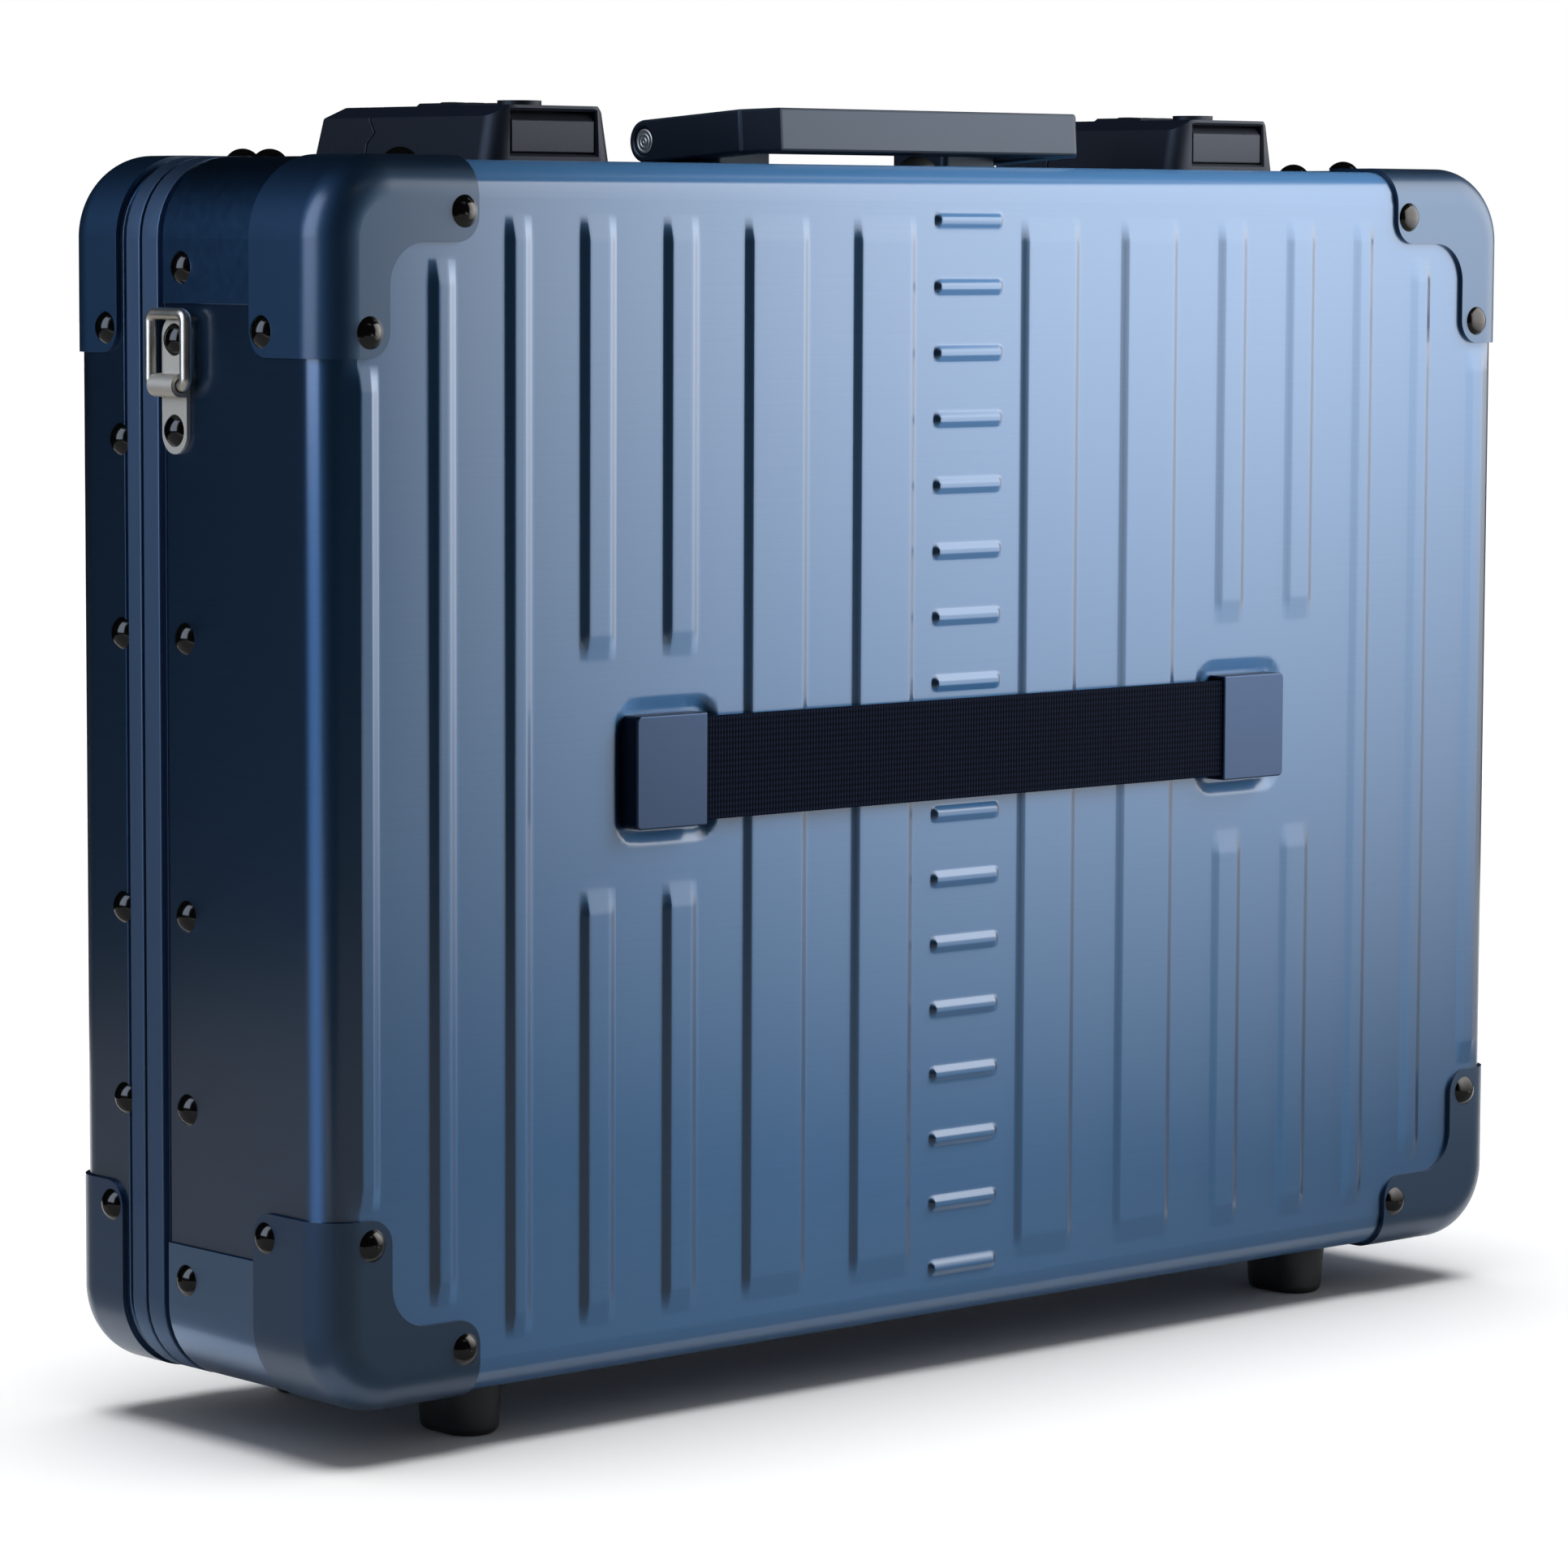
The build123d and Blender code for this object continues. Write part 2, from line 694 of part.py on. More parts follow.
for name, side in sides.items():
    with BuildPart() as handle_bracket:
        with BuildSketch(Plane.XY.offset(z_top)):
            with Locations((side * (lug_outer - bracket_length / 2), y_pivot - bracket_depth / 3)):
                RectangleRounded(bracket_length, bracket_depth, bracket_base / 2)
        extrude(amount=bracket_base)
        with BuildSketch(Plane.YZ.offset(side * (lug_outer - bracket_lug))):
            with Locations((y_pivot, z_pivot)):
                Circle(handle_thickness / 2)
            with Locations((y_pivot, z_top)):
                Rectangle(handle_thickness, z_pivot - z_top, align=(Align.CENTER, Align.MIN))
            with Locations((y_pivot, z_pivot)):
                Circle(pin_diameter / 2, mode=Mode.SUBTRACT)
        extrude(amount=side * bracket_lug)
    save(handle_bracket.part, f"handle_bracket_{name}")

bar_middle = handle_reach - handle_bar / 2
bar_level = z_pivot - z_top + bar_middle * sin(tilt)
bumper_rise = bar_level - handle_thickness / 2 / cos(tilt) - rest_gap
with BuildPart() as handle_bumper:
    with BuildSketch(Plane.XZ.offset(bar_middle * cos(tilt) - y_pivot)):
        with BuildLine():
            Line((0, z_top + bumper_rise), (0, z_top))
            Line((0, z_top), (bumper_diameter / 2, z_top))
            cap_radius = ((bumper_diameter / 2) ** 2 + bumper_rise**2) / (2 * bumper_rise)
            RadiusArc((bumper_diameter / 2, z_top), (0, z_top + bumper_rise), -cap_radius)
        make_face()
    revolve(axis=Axis((0, y_pivot - bar_middle * cos(tilt), z_top), (0, 0, 1)))
save(handle_bumper.part, "handle_bumper")

# Strap rings: a plate riveted to the side wall, curled round the lower bar of a bent wire ring
ring_axis = bracket_plate_sheet + ring_lift + ring_wire / 2
curl_bore = ring_wire / 2 + ring_play
curl_radius = ring_axis
for name, side in sides.items():
    x_ring = side * (half_width + ring_axis)
    with BuildPart() as ring_bracket:
        with BuildSketch(Plane.XZ.offset(-y_ring)):
            with Locations((side * (half_width + bracket_plate_sheet / 2), z_ring)):
                Rectangle(bracket_plate_sheet, bracket_plate_height)
            with Locations((side * (half_width + ring_axis / 2), z_ring)):
                Rectangle(ring_axis, 2 * curl_radius)
            with Locations((x_ring, z_ring)):
                Circle(curl_radius)
            with Locations((x_ring, z_ring)):
                Circle(curl_bore, mode=Mode.SUBTRACT)
        extrude(amount=bracket_plate_width / 2, both=True)
        with BuildSketch(Plane.YZ.offset(side * half_width)):
            with Locations((y_ring, z_ring)):
                SlotOverall(bracket_plate_height, bracket_plate_width, rotation=90)
        extrude(amount=2 * side * ring_axis, mode=Mode.INTERSECT)
    save(ring_bracket.part, f"ring_bracket_{name}")
    with BuildPart() as strap_ring:
        ring_plane = Plane((x_ring, y_ring, z_ring), x_dir=(0, 1, 0), z_dir=(1, 0, 0))
        with BuildLine(ring_plane) as wire:
            across = bracket_plate_width / 2 + ring_play + ring_corner_radius
            along = ring_height - ring_wire
            corners = [(across, 0), (across, along), (-across, along), (-across, 0)]
            FilletPolyline(*corners, radius=ring_corner_radius, close=True)
        with BuildSketch(wire.wire() ^ 0):
            Circle(ring_wire / 2)
        sweep(path=wire.wire())
    save(strap_ring.part, f"strap_ring_{name}")

# Piano hinge: two leaves on the undersides of the rims, with knuckles in turn on one pin
z_leaf = z_bottom - rim_rise
knuckle_pitch = hinge_length / hinge_knuckles
leaf_start = knuckle_radius + leaf_gap
knuckle_spots = [knuckle_pitch * (i - (hinge_knuckles - 1) / 2) for i in range(hinge_knuckles)]


def hinge_leaf(away, width, spots):
    """One leaf with its knuckles, lying away from the hinge axis along Y."""
    with BuildPart() as leaf:
        with BuildSketch(Plane.XY.offset(z_leaf)):
            with Locations((0, y_hinge + away * (leaf_start + width / 2))):
                Rectangle(hinge_length, width)
            with Locations([(x, y_hinge + away * leaf_start / 2) for x in spots]):
                Rectangle(knuckle_pitch - hinge_gap, leaf_start)
        extrude(amount=-hinge_sheet)
        for x in spots:
            with BuildSketch(Plane.YZ.offset(x)):
                with Locations((y_hinge, z_hinge)):
                    Circle(knuckle_radius)
            extrude(amount=(knuckle_pitch - hinge_gap) / 2, both=True)
        with BuildSketch(Plane.YZ):
            with Locations((y_hinge, z_hinge)):
                Circle(hinge_pin_diameter / 2 + running_clearance)
        extrude(amount=hinge_length, both=True, mode=Mode.SUBTRACT)
    return leaf.part


save(hinge_leaf(-1, body_leaf_width, knuckle_spots[0::2]), "hinge_body_leaf")
save(hinge_leaf(1, lid_leaf_width, knuckle_spots[1::2]), "hinge_lid_leaf")

with BuildPart() as hinge_pin:
    with BuildSketch(Plane.YZ):
        with Locations((y_hinge, z_hinge)):
            Circle(hinge_pin_diameter / 2)
    extrude(amount=hinge_length / 2, both=True)
save(hinge_pin.part, "hinge_pin")

# Locks: the same moulded form runs over the lock case on the body and the hasp on the lid
lock_spread = half_width - lock_inset
lock_rear = y_part - seam_gap / 2
lock_front = lock_rear - lock_length
hasp_front = y_part + seam_gap / 2
hasp_back = hasp_front + hasp_length
shoulder_height = lock_height - lock_shoulder
cavity_front = lock_front + lock_wall
cavity_rear = lock_rear - lock_rear_wall
cavity_half = lock_width / 2 - lock_side_wall
cavity_height = lock_height - lock_roof
tongue_top = hasp_tongue_lift + hasp_tongue_thickness
latch_base = tongue_top + latch_rest_gap
rail_outer = cavity_half - works_gap
rail_inner = rail_outer - latch_rail
tooth_rear = cavity_rear - works_gap
tooth_front = tooth_rear - latch_bar
y_dials = lock_front + dial_setback
y_plug = lock_front + plug_setback
dial_axis = lock_height + dial_rise - dial_radius
dial_spots = [dial_pitch * (i - (dial_count - 1) / 2) for i in range(dial_count)]
dial_stack = dial_spots[-1] + dial_width / 2 + dial_slot_gap
works_plane = Plane((0, 0, z_top), x_dir=(0, 1, 0), z_dir=(1, 0, 0))
deck_plane = Plane.XY.offset(z_top)


def lock_section(y):
    """The drafted and chamfered cross-section of a lock, standing on the top wall at a place along Y."""
    foot_half = lock_width / 2
    shoulder_half = foot_half - lock_draft
    deck_half = shoulder_half - lock_slope
    with BuildSketch(Plane((0, y, z_top), x_dir=(1, 0, 0), z_dir=(0, 1, 0))) as section:
        with BuildLine():
            Polyline(
                (-foot_half, 0),
                (-shoulder_half, -shoulder_height),
                (-deck_half, -lock_height),
                (deck_half, -lock_height),
                (shoulder_half, -shoulder_height),
                (foot_half, 0),
                close=True,
            )
        make_face()
    return section.sketch


def side_profile(*points):
    """A closed profile in the plane of a lock's side view: places along Y and heights over the top wall."""
    with BuildSketch(works_plane) as profile:
        with BuildLine():
            Polyline(*points, close=True)
        make_face()
    return profile.sketch


def block(x_low, x_high, y_low, y_high, low, high):
    """A rectangular block over the top wall."""
    with BuildPart() as form:
        with Locations((x_low, y_low, z_top + low)):
            Box(x_high - x_low, y_high - y_low, high - low, align=(Align.MIN, Align.MIN, Align.MIN))
    return form.part


def ridge(y):
    """The three corners of the ridge that keys the hasp to the lock, on a face at a place along Y."""
    low = (y, ridge_middle - ridge_height / 2)
    tip = (y - ridge_depth, ridge_middle)
    high = (y, ridge_middle + ridge_height / 2)
    return low, tip, high


# Lock case: a hollow moulding, open below, with a window for the panel, slots for the dials and a key boss
with BuildPart() as lock_case:
    extrude(lock_section(lock_front), amount=lock_rear - lock_front)
    nose_edges = lock_case.faces().sort_by(Axis.Y)[0].edges().sort_by(Axis.X)
    fillet([nose_edges[0], nose_edges[-1]], lock_nose_radius)
    low, tip, high = ridge(lock_rear)
    extrude(side_profile(low, tip, high), amount=lock_width, both=True, mode=Mode.SUBTRACT)
    rim_step = block(-lock_width, lock_width, y_body - body_strip, lock_rear, 0, rim_rise)
    add(rim_step, mode=Mode.SUBTRACT)
    add(block(-cavity_half, cavity_half, cavity_front, cavity_rear, 0, cavity_height), mode=Mode.SUBTRACT)
    window_half = button_width / 2 + button_play
    window_low = button_sill - button_play
    window_high = button_sill + button_face + button_rise + button_play
    window_rear = lock_front + button_inset + button_sheet + button_travel + button_play
    window = block(-window_half, window_half, lock_front, window_rear, window_low, window_high)
    add(window, mode=Mode.SUBTRACT)
    window_middle = (window_low + window_high) / 2
    with BuildSketch(Plane((0, lock_front, z_top + window_middle), x_dir=(1, 0, 0), z_dir=(0, 1, 0))):
        Rectangle(2 * (window_half + window_bevel), window_high - window_low + 2 * window_bevel)
    extrude(amount=window_bevel, taper=45, mode=Mode.SUBTRACT)
    slot_half = hasp_tongue_width / 2 + hasp_tongue_play
    slot_low = hasp_tongue_lift - hasp_tongue_play
    slot_high = tongue_top + hasp_tongue_rise + hasp_tongue_play
    add(block(-slot_half, slot_half, cavity_rear, lock_rear, slot_low, slot_high), mode=Mode.SUBTRACT)
    with BuildSketch(deck_plane.offset(lock_height)):
        with Locations((0, y_dials)):
            Rectangle(bezel_width, bezel_depth)
    extrude(amount=bezel_rise, taper=bezel_draft)
    with BuildSketch(deck_plane.offset(lock_height)):
        with Locations((0, y_plug)):
            Circle(plug_boss_diameter / 2)
    extrude(amount=plug_boss_rise)
    lug_half = dial_lug_depth / 2
    lug_low = dial_axis - lug_half
    for side in sides.values():
        lug_ends = sorted((side * dial_stack, side * (dial_stack + dial_lug)))
        add(block(*lug_ends, y_dials - lug_half, y_dials + lug_half, lug_low, cavity_height))
    slot_reach = dial_radius + dial_slot_gap
    slot_ends = (y_dials - slot_reach, y_dials + slot_reach)
    x_half = dial_width / 2 + dial_slot_gap
    for x in dial_spots:
        slot = block(x - x_half, x + x_half, *slot_ends, lug_low, 2 * lock_height)
        add(slot, mode=Mode.SUBTRACT)
    with BuildSketch(works_plane):
        with Locations((y_dials, dial_axis)):
            Circle(dial_axle_diameter / 2)
    extrude(amount=dial_stack + dial_lug, both=True, mode=Mode.SUBTRACT)
    with BuildSketch(deck_plane.offset(cavity_height)):
        with Locations((0, y_plug)):
            Circle(plug_diameter / 2 + running_clearance)
    extrude(amount=lock_height, mode=Mode.SUBTRACT)

# Release panel: pushed in from the front, with two ramped arms that lift the latch
panel_front = lock_front + button_inset
panel_top = button_sill + button_face + button_rise
flange_front = cavity_front + works_gap
arm_top = latch_base - works_gap
ramp_start = cavity_front + button_arm
ramp_slope = latch_lift / button_travel
ramp_end = ramp_start + (arm_top - button_base) / ramp_slope
with BuildPart() as release_button:
    panel = side_profile(
        (panel_front, button_sill),
        (panel_front, button_sill + button_face),
        (panel_front + button_slope, panel_top),
        (panel_front + button_sheet, panel_top),
        (panel_front + button_sheet, button_sill),
    )
    extrude(panel, amount=button_width / 2, both=True)
    flange_top = button_base + button_flange_height
    add(block(-rail_outer, rail_outer, flange_front, flange_front + button_flange, button_base, flange_top))
    arm = side_profile(
        (flange_front, button_base),
        (flange_front, arm_top),
        (ramp_start, arm_top),
        (ramp_end, button_base),
    )
    extrude(arm.moved(Location((rail_inner, 0, 0))), amount=latch_rail)
    extrude(arm.moved(Location((-rail_outer, 0, 0))), amount=latch_rail)

# Latch: a fork over the panel's arms, with a tooth that drops through the hasp's tongue
wedge_top = ramp_start - (latch_base - arm_top - wedge_gap) / ramp_slope
wedge_tip = ramp_end
with BuildPart() as latch:
    rail_start = cavity_front + latch_rail_start
    wedge = side_profile(
        (rail_start, latch_base),
        (rail_start, latch_base + latch_thickness),
        (tooth_rear, latch_base + latch_thickness),
        (tooth_rear, latch_base),
        (wedge_tip + latch_wedge, latch_base),
        (wedge_tip + latch_wedge, button_base + wedge_gap),
        (wedge_tip, button_base + wedge_gap),
        (wedge_top, latch_base),
    )
    extrude(wedge.moved(Location((rail_inner, 0, 0))), amount=latch_rail)
    extrude(wedge.moved(Location((-rail_outer, 0, 0))), amount=latch_rail)
    latch_top = latch_base + latch_thickness
    add(block(-rail_outer, rail_outer, tooth_front, tooth_rear, latch_base, latch_top))
    tooth_half = latch_tooth_width / 2
    tooth_low = hasp_tongue_lift + latch_tooth_past
    add(block(-tooth_half, tooth_half, tooth_front, tooth_rear, tooth_low, latch_top))

# Dial axle: a steel pin between two lugs under the lock's roof
with BuildPart() as dial_axle:
    with BuildSketch(works_plane):
        with Locations((y_dials, dial_axis)):
            Circle(dial_axle_diameter / 2)
    extrude(amount=dial_stack + dial_lug, both=True)

# Key plug: a turned plug held in the boss by a collar under the roof, with a key slot
plug_top = lock_height + plug_boss_rise - plug_sink
collar_top = cavity_height - works_gap
with BuildPart() as key_plug:
    for radius, low, high in (
        (plug_diameter / 2, plug_top - plug_depth, plug_top),
        (plug_diameter / 2 + plug_collar_width, collar_top - plug_collar, collar_top),
    ):
        with BuildSketch(deck_plane.offset(low)):
            with Locations((0, y_plug)):
                Circle(radius)
        extrude(amount=high - low)
    with BuildSketch(deck_plane.offset(plug_top)):
        with Locations((0, y_plug)):
            Rectangle(key_slot_width, key_slot_length)
    extrude(amount=-key_slot_depth, mode=Mode.SUBTRACT)

# Hasp: a solid block on the lid with a keyed front and a tongue that the latch catches
with BuildPart() as hasp:
    extrude(lock_section(hasp_front - ridge_depth), amount=hasp_length + ridge_depth)
    low, tip, high = ridge(hasp_front)
    shoulder_back = hasp_back - hasp_draft
    keyed = side_profile(
        (hasp_front, 0),
        low,
        tip,
        high,
        (hasp_front, lock_height),
        (shoulder_back - lock_slope, lock_height),
        (shoulder_back, shoulder_height),
        (hasp_back, 0),
    )
    extrude(keyed, amount=lock_width, both=True, mode=Mode.INTERSECT)
    rim_step = block(-lock_width, lock_width, hasp_front, y_lid + lid_strip, 0, rim_rise)
    add(rim_step, mode=Mode.SUBTRACT)
    tongue_half = hasp_tongue_width / 2
    tongue_tip = tooth_front - latch_tooth_gap - hasp_tongue_end
    add(block(-tongue_half, tongue_half, tongue_tip, hasp_front + lock_wall, hasp_tongue_lift, tongue_top))
    hole_half = tooth_half + latch_tooth_gap
    hole_front = tooth_front - latch_tooth_gap
    hole_rear = tooth_rear + latch_tooth_gap
    add(block(-hole_half, hole_half, hole_front, hole_rear, 0, tongue_top), mode=Mode.SUBTRACT)

lock_pieces = {
    "lock_case": lock_case,
    "release_button": release_button,
    "latch": latch,
    "dial_axle": dial_axle,
    "key_plug": key_plug,
    "hasp": hasp,
}
for name, side in sides.items():
    place = Location((side * lock_spread, 0, 0))
    for piece, made in lock_pieces.items():
        save(made.part.moved(place), f"{piece}_{name}")
    for number, x in enumerate(dial_spots, start=1):
        with BuildPart() as dial:
            dial_plane = works_plane.offset(side * lock_spread + x - dial_width / 2)
            with BuildSketch(dial_plane):
                with Locations((y_dials, dial_axis)):
                    RegularPolygon(dial_radius, dial_sides)
                    Circle(dial_axle_diameter / 2 + running_clearance, mode=Mode.SUBTRACT)
            extrude(amount=dial_width)
        save(dial.part, f"dial_{name}_{number}")
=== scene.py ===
import bmesh
import bpy
import numpy as np
from math import cos, pi, radians, sin
from mathutils import Matrix, Vector


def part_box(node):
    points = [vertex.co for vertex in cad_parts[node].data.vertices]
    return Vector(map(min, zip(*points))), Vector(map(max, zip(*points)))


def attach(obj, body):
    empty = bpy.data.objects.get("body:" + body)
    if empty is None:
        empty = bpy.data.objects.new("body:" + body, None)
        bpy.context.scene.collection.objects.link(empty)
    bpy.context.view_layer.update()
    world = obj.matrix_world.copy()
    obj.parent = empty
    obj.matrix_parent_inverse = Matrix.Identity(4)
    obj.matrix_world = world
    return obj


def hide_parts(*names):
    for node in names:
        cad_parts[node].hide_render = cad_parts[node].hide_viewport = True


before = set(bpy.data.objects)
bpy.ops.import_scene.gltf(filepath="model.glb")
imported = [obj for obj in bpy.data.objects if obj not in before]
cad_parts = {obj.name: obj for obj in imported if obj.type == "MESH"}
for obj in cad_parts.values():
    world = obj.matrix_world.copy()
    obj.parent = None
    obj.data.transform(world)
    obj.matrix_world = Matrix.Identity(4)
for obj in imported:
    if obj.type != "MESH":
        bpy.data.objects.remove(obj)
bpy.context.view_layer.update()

# Pressed shells
# The two halves of the case are drawn trays of 1.5 mm aluminium sheet. A press tool raises vertical ribs and a
# middle column of short bars, and sinks a pocket for each strap clip. The sheet is brushed, then anodised blue.
MM = 0.001
sheet = 1.5 * MM
corner_radius = 21 * MM
bend_radius = 10 * MM
rib_widths = np.array([24, 24, 13, 13, 9.5, 9.5, 9.5]) * MM
rib_reaches = np.array([150, 150, 150, 150, 150, 138.4, 110.8]) * MM
rib_first = 20 * MM
rib_gap = 16 * MM
rib_height = 1.1 * MM
rib_flank = 3.1 * MM
rib_end = 8 * MM
rib_break = 60 * MM
broken_ribs = (2, 3)
bar_room = 1.8 * MM
bar_height = 1.25 * MM
bar_size = (27 * MM, 5.2 * MM)
bar_flank = 2.1 * MM
bar_corner = 2.2 * MM
bar_count = 17
bar_pitch = 18.54 * MM
pocket_size = (37 * MM, 41 * MM)
pocket_shift = 2 * MM
pocket_depth = 1.7 * MM
pocket_flank = 4.2 * MM
pocket_corner = 8 * MM
flank_bend = 0.16
shell_low, shell_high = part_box("body_shell")
lid_low, lid_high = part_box("lid_shell")
half_height = (shell_high.z - shell_low.z) / 2
z_middle = (shell_high.z + shell_low.z) / 2
inner_half_width = shell_high.x - corner_radius
inner_half_height = half_height - corner_radius
flat_reach = corner_radius - bend_radius
rib_starts = rib_first + np.concatenate(([0], np.cumsum(rib_widths[:-1] + rib_gap)))
pocket_spread = rib_starts[broken_ribs[0]] + rib_widths[broken_ribs[0]] - pocket_shift

# Where the mesh of the sheet has its lines: over a flank, as shares of it, on plain stretches, as a count, round
# a corner and over the bend, as angles, and down a wall, as shares of its depth
flank_steps = np.array([-0.3, 0, 0.08, 0.16, 0.5, 0.84, 0.92, 1, 1.3])
plain_columns, plain_rows, plain_rims = 30, 12, 9
corner_turns = np.linspace(0, pi / 2, 13)
bend_turns = np.linspace(0.38, pi / 2, 12)
wall_steps = np.array([0.02, 0.25, 0.5, 0.75, 0.97, 0.985, 1])
line_gap = 0.15 * MM
line_margin = 0.2 * MM
rim_margins = (0.3 * MM, 0.1 * MM)


def pressed_step(amount):
    """Rises from 0 to 1 along a straight flank with a bend at each end, as pressed sheet does."""
    amount = np.clip(amount, 0, 1)
    from_end = np.minimum(amount, 1 - amount)
    rise = np.where(from_end < flank_bend, from_end**2 / (2 * flank_bend), from_end - flank_bend / 2)
    rise = rise / (1 - flank_bend)
    return np.where(amount < 0.5, rise, 1 - rise)


def depth_inside(x, z, middle, size, radius):
    """How far a point lies inside a pad with rounded corners, along the surface."""
    over_x = np.abs(x - middle[0]) - (size[0] / 2 - radius)
    over_z = np.abs(z - middle[1]) - (size[1] / 2 - radius)
    outside = np.hypot(np.maximum(over_x, 0), np.maximum(over_z, 0))
    return radius - outside - np.minimum(np.maximum(over_x, over_z), 0)


def rib_pads(broken):
    """Middle and size of every rib's footprint. Two ribs on each side part round the strap clips where broken."""
    pads = []
    for number, (start, width, reach) in enumerate(zip(rib_starts, rib_widths, rib_reaches)):
        for side in (-1, 1):
            x = side * (start + width / 2)
            if broken and number in broken_ribs:
                length = reach - rib_break / 2
                pads += [((x, up * (reach + rib_break / 2) / 2), (width, length)) for up in (-1, 1)]
            else:
                pads.append(((x, 0), (width, 2 * reach)))
    return pads


def relief(x, z, broken):
    """Height of the pressed face over its plane at places measured from the middle of the face."""
    height = np.zeros_like(x)
    for middle, size in rib_pads(broken):
        across = size[0] / 2 - np.abs(x - middle[0])
        along = size[1] / 2 - np.abs(z - middle[1])
        height += rib_height * pressed_step(across / rib_flank) * pressed_step(along / rib_end)
    for number in range(bar_count):
        level = bar_pitch * (number - (bar_count - 1) / 2)
        inside = depth_inside(x, z, (0, level), bar_size, bar_corner)
        height += bar_height * pressed_step(inside / bar_flank)
    if broken:
        for side in (-1, 1):
            inside = depth_inside(x, z, (side * pocket_spread, 0), pocket_size, pocket_corner)
            height -= pocket_depth * pressed_step(inside / pocket_flank)
    return height


def place_object(name, data):
    """Sets a mesh, lamp or camera in the scene as an object of that name."""
    thing = bpy.data.objects.new(name, data)
    bpy.context.scene.collection.objects.link(thing)
    return thing


def drawn_shell(name, y_face, inward, depth, broken):
    """A pressed tray: a grid over the middle of the face, then rings out over the bend and down the walls."""
    columns = [np.linspace(0, inner_half_width, plain_columns)]
    for start, width in zip(rib_starts, rib_widths):
        columns += [start + rib_flank * flank_steps, start + width - rib_flank * flank_steps]
    columns.append(bar_size[0] / 2 - bar_flank * flank_steps)
    from_pocket = pocket_size[0] / 2 - pocket_flank * flank_steps
    columns += [pocket_spread - from_pocket, pocket_spread + from_pocket]
    rows = [np.linspace(0, inner_half_height, plain_rows), rib_break / 2 + rib_end * flank_steps]
    rows += [reach - rib_end * flank_steps for reach in np.unique(rib_reaches)]
    rows.append(pocket_size[1] / 2 - pocket_flank * flank_steps)
    from_bar = bar_size[1] / 2 - bar_flank * flank_steps
    for number in range(bar_count // 2 + 1):
        rows += [bar_pitch * number + from_bar, bar_pitch * number - from_bar]
    lines = []
    for places, limit in ((columns, inner_half_width), (rows, inner_half_height)):
        places = np.concatenate(places)
        places = np.unique(np.round(places[(places > line_margin) & (places < limit - line_margin)], 5))
        places = places[np.concatenate(([True], np.diff(places) > line_gap))]
        lines.append(np.concatenate(([-limit], -places[::-1], [0], places, [limit])))
    grid_x, grid_z = np.meshgrid(*lines, indexing="ij")
    count_x, count_z = grid_x.shape
    points = [np.stack((grid_x.ravel(), -relief(grid_x, grid_z, broken).ravel(), grid_z.ravel()), axis=1)]
    strokes = [np.tile((1.0, 0.0, 0.0), (count_x * count_z, 1))]
    index = np.arange(count_x * count_z).reshape(count_x, count_z)
    quads = np.stack((index[:-1, :-1], index[1:, :-1], index[1:, 1:], index[:-1, 1:]), axis=-1)
    faces = quads.reshape(-1, 4).tolist()

    # The edge of the grid, walked once round, with its outward direction turning at each corner
    loop, turns = [], []
    for number, edge in enumerate((index[-1, :], index[::-1, -1], index[0, ::-1], index[:, 0])):
        loop += list(edge) + [edge[-1]] * (len(corner_turns) - 2)
        turns += [number * pi / 2] * len(edge) + list(number * pi / 2 + corner_turns[1:-1])
    loop, across, up = np.array(loop), np.cos(turns), np.sin(turns)

    # The rings lie closer where the ends of the ribs and the flanks of the outermost rib reach past the grid
    last_rib = rib_starts[-1] - inner_half_width
    rim_lines = np.unique(np.round(np.concatenate((
        np.linspace(1, flat_reach / MM, plain_rims),
        (rib_reaches[0] - inner_half_height - rib_end * flank_steps) / MM,
        (last_rib + rib_flank * flank_steps) / MM,
        (last_rib + rib_widths[-1] - rib_flank * flank_steps) / MM,
    )), 2)) * MM
    rim_lines = rim_lines[(rim_lines > rim_margins[0]) & (rim_lines < flat_reach + rim_margins[1])]
    bend_lines = flat_reach + bend_radius * bend_turns
    wall_lines = bend_lines[-1] + (depth - bend_radius) * wall_steps
    base = points[0][loop]
    ring = loop
    for reach in (*rim_lines, *bend_lines, *wall_lines):
        turned = min(max((reach - flat_reach) / bend_radius, 0), pi / 2)
        radial = min(reach, flat_reach) + bend_radius * sin(turned)
        down = bend_radius * (1 - cos(turned)) + max(reach - bend_lines[-1], 0)
        x, z = base[:, 0] + radial * across, base[:, 2] + radial * up
        lift = relief(x, z, broken)
        sideways = lift * sin(turned)
        outer = sum(len(part) for part in points) + np.arange(len(loop))
        points.append(np.stack((x + sideways * across, down - lift * cos(turned), z + sideways * up), axis=1))
        # The brushing ran level in the flat sheet, and turned down with the wall
        level = (across**2 * cos(turned) + up**2, across * sin(turned), across * up * (cos(turned) - 1))
        strokes.append(np.stack(level, axis=1))
        for i in range(len(loop)):
            j = (i + 1) % len(loop)
            faces.append(list(dict.fromkeys((int(ring[i]), int(outer[i]), int(outer[j]), int(ring[j])))))
        ring = outer

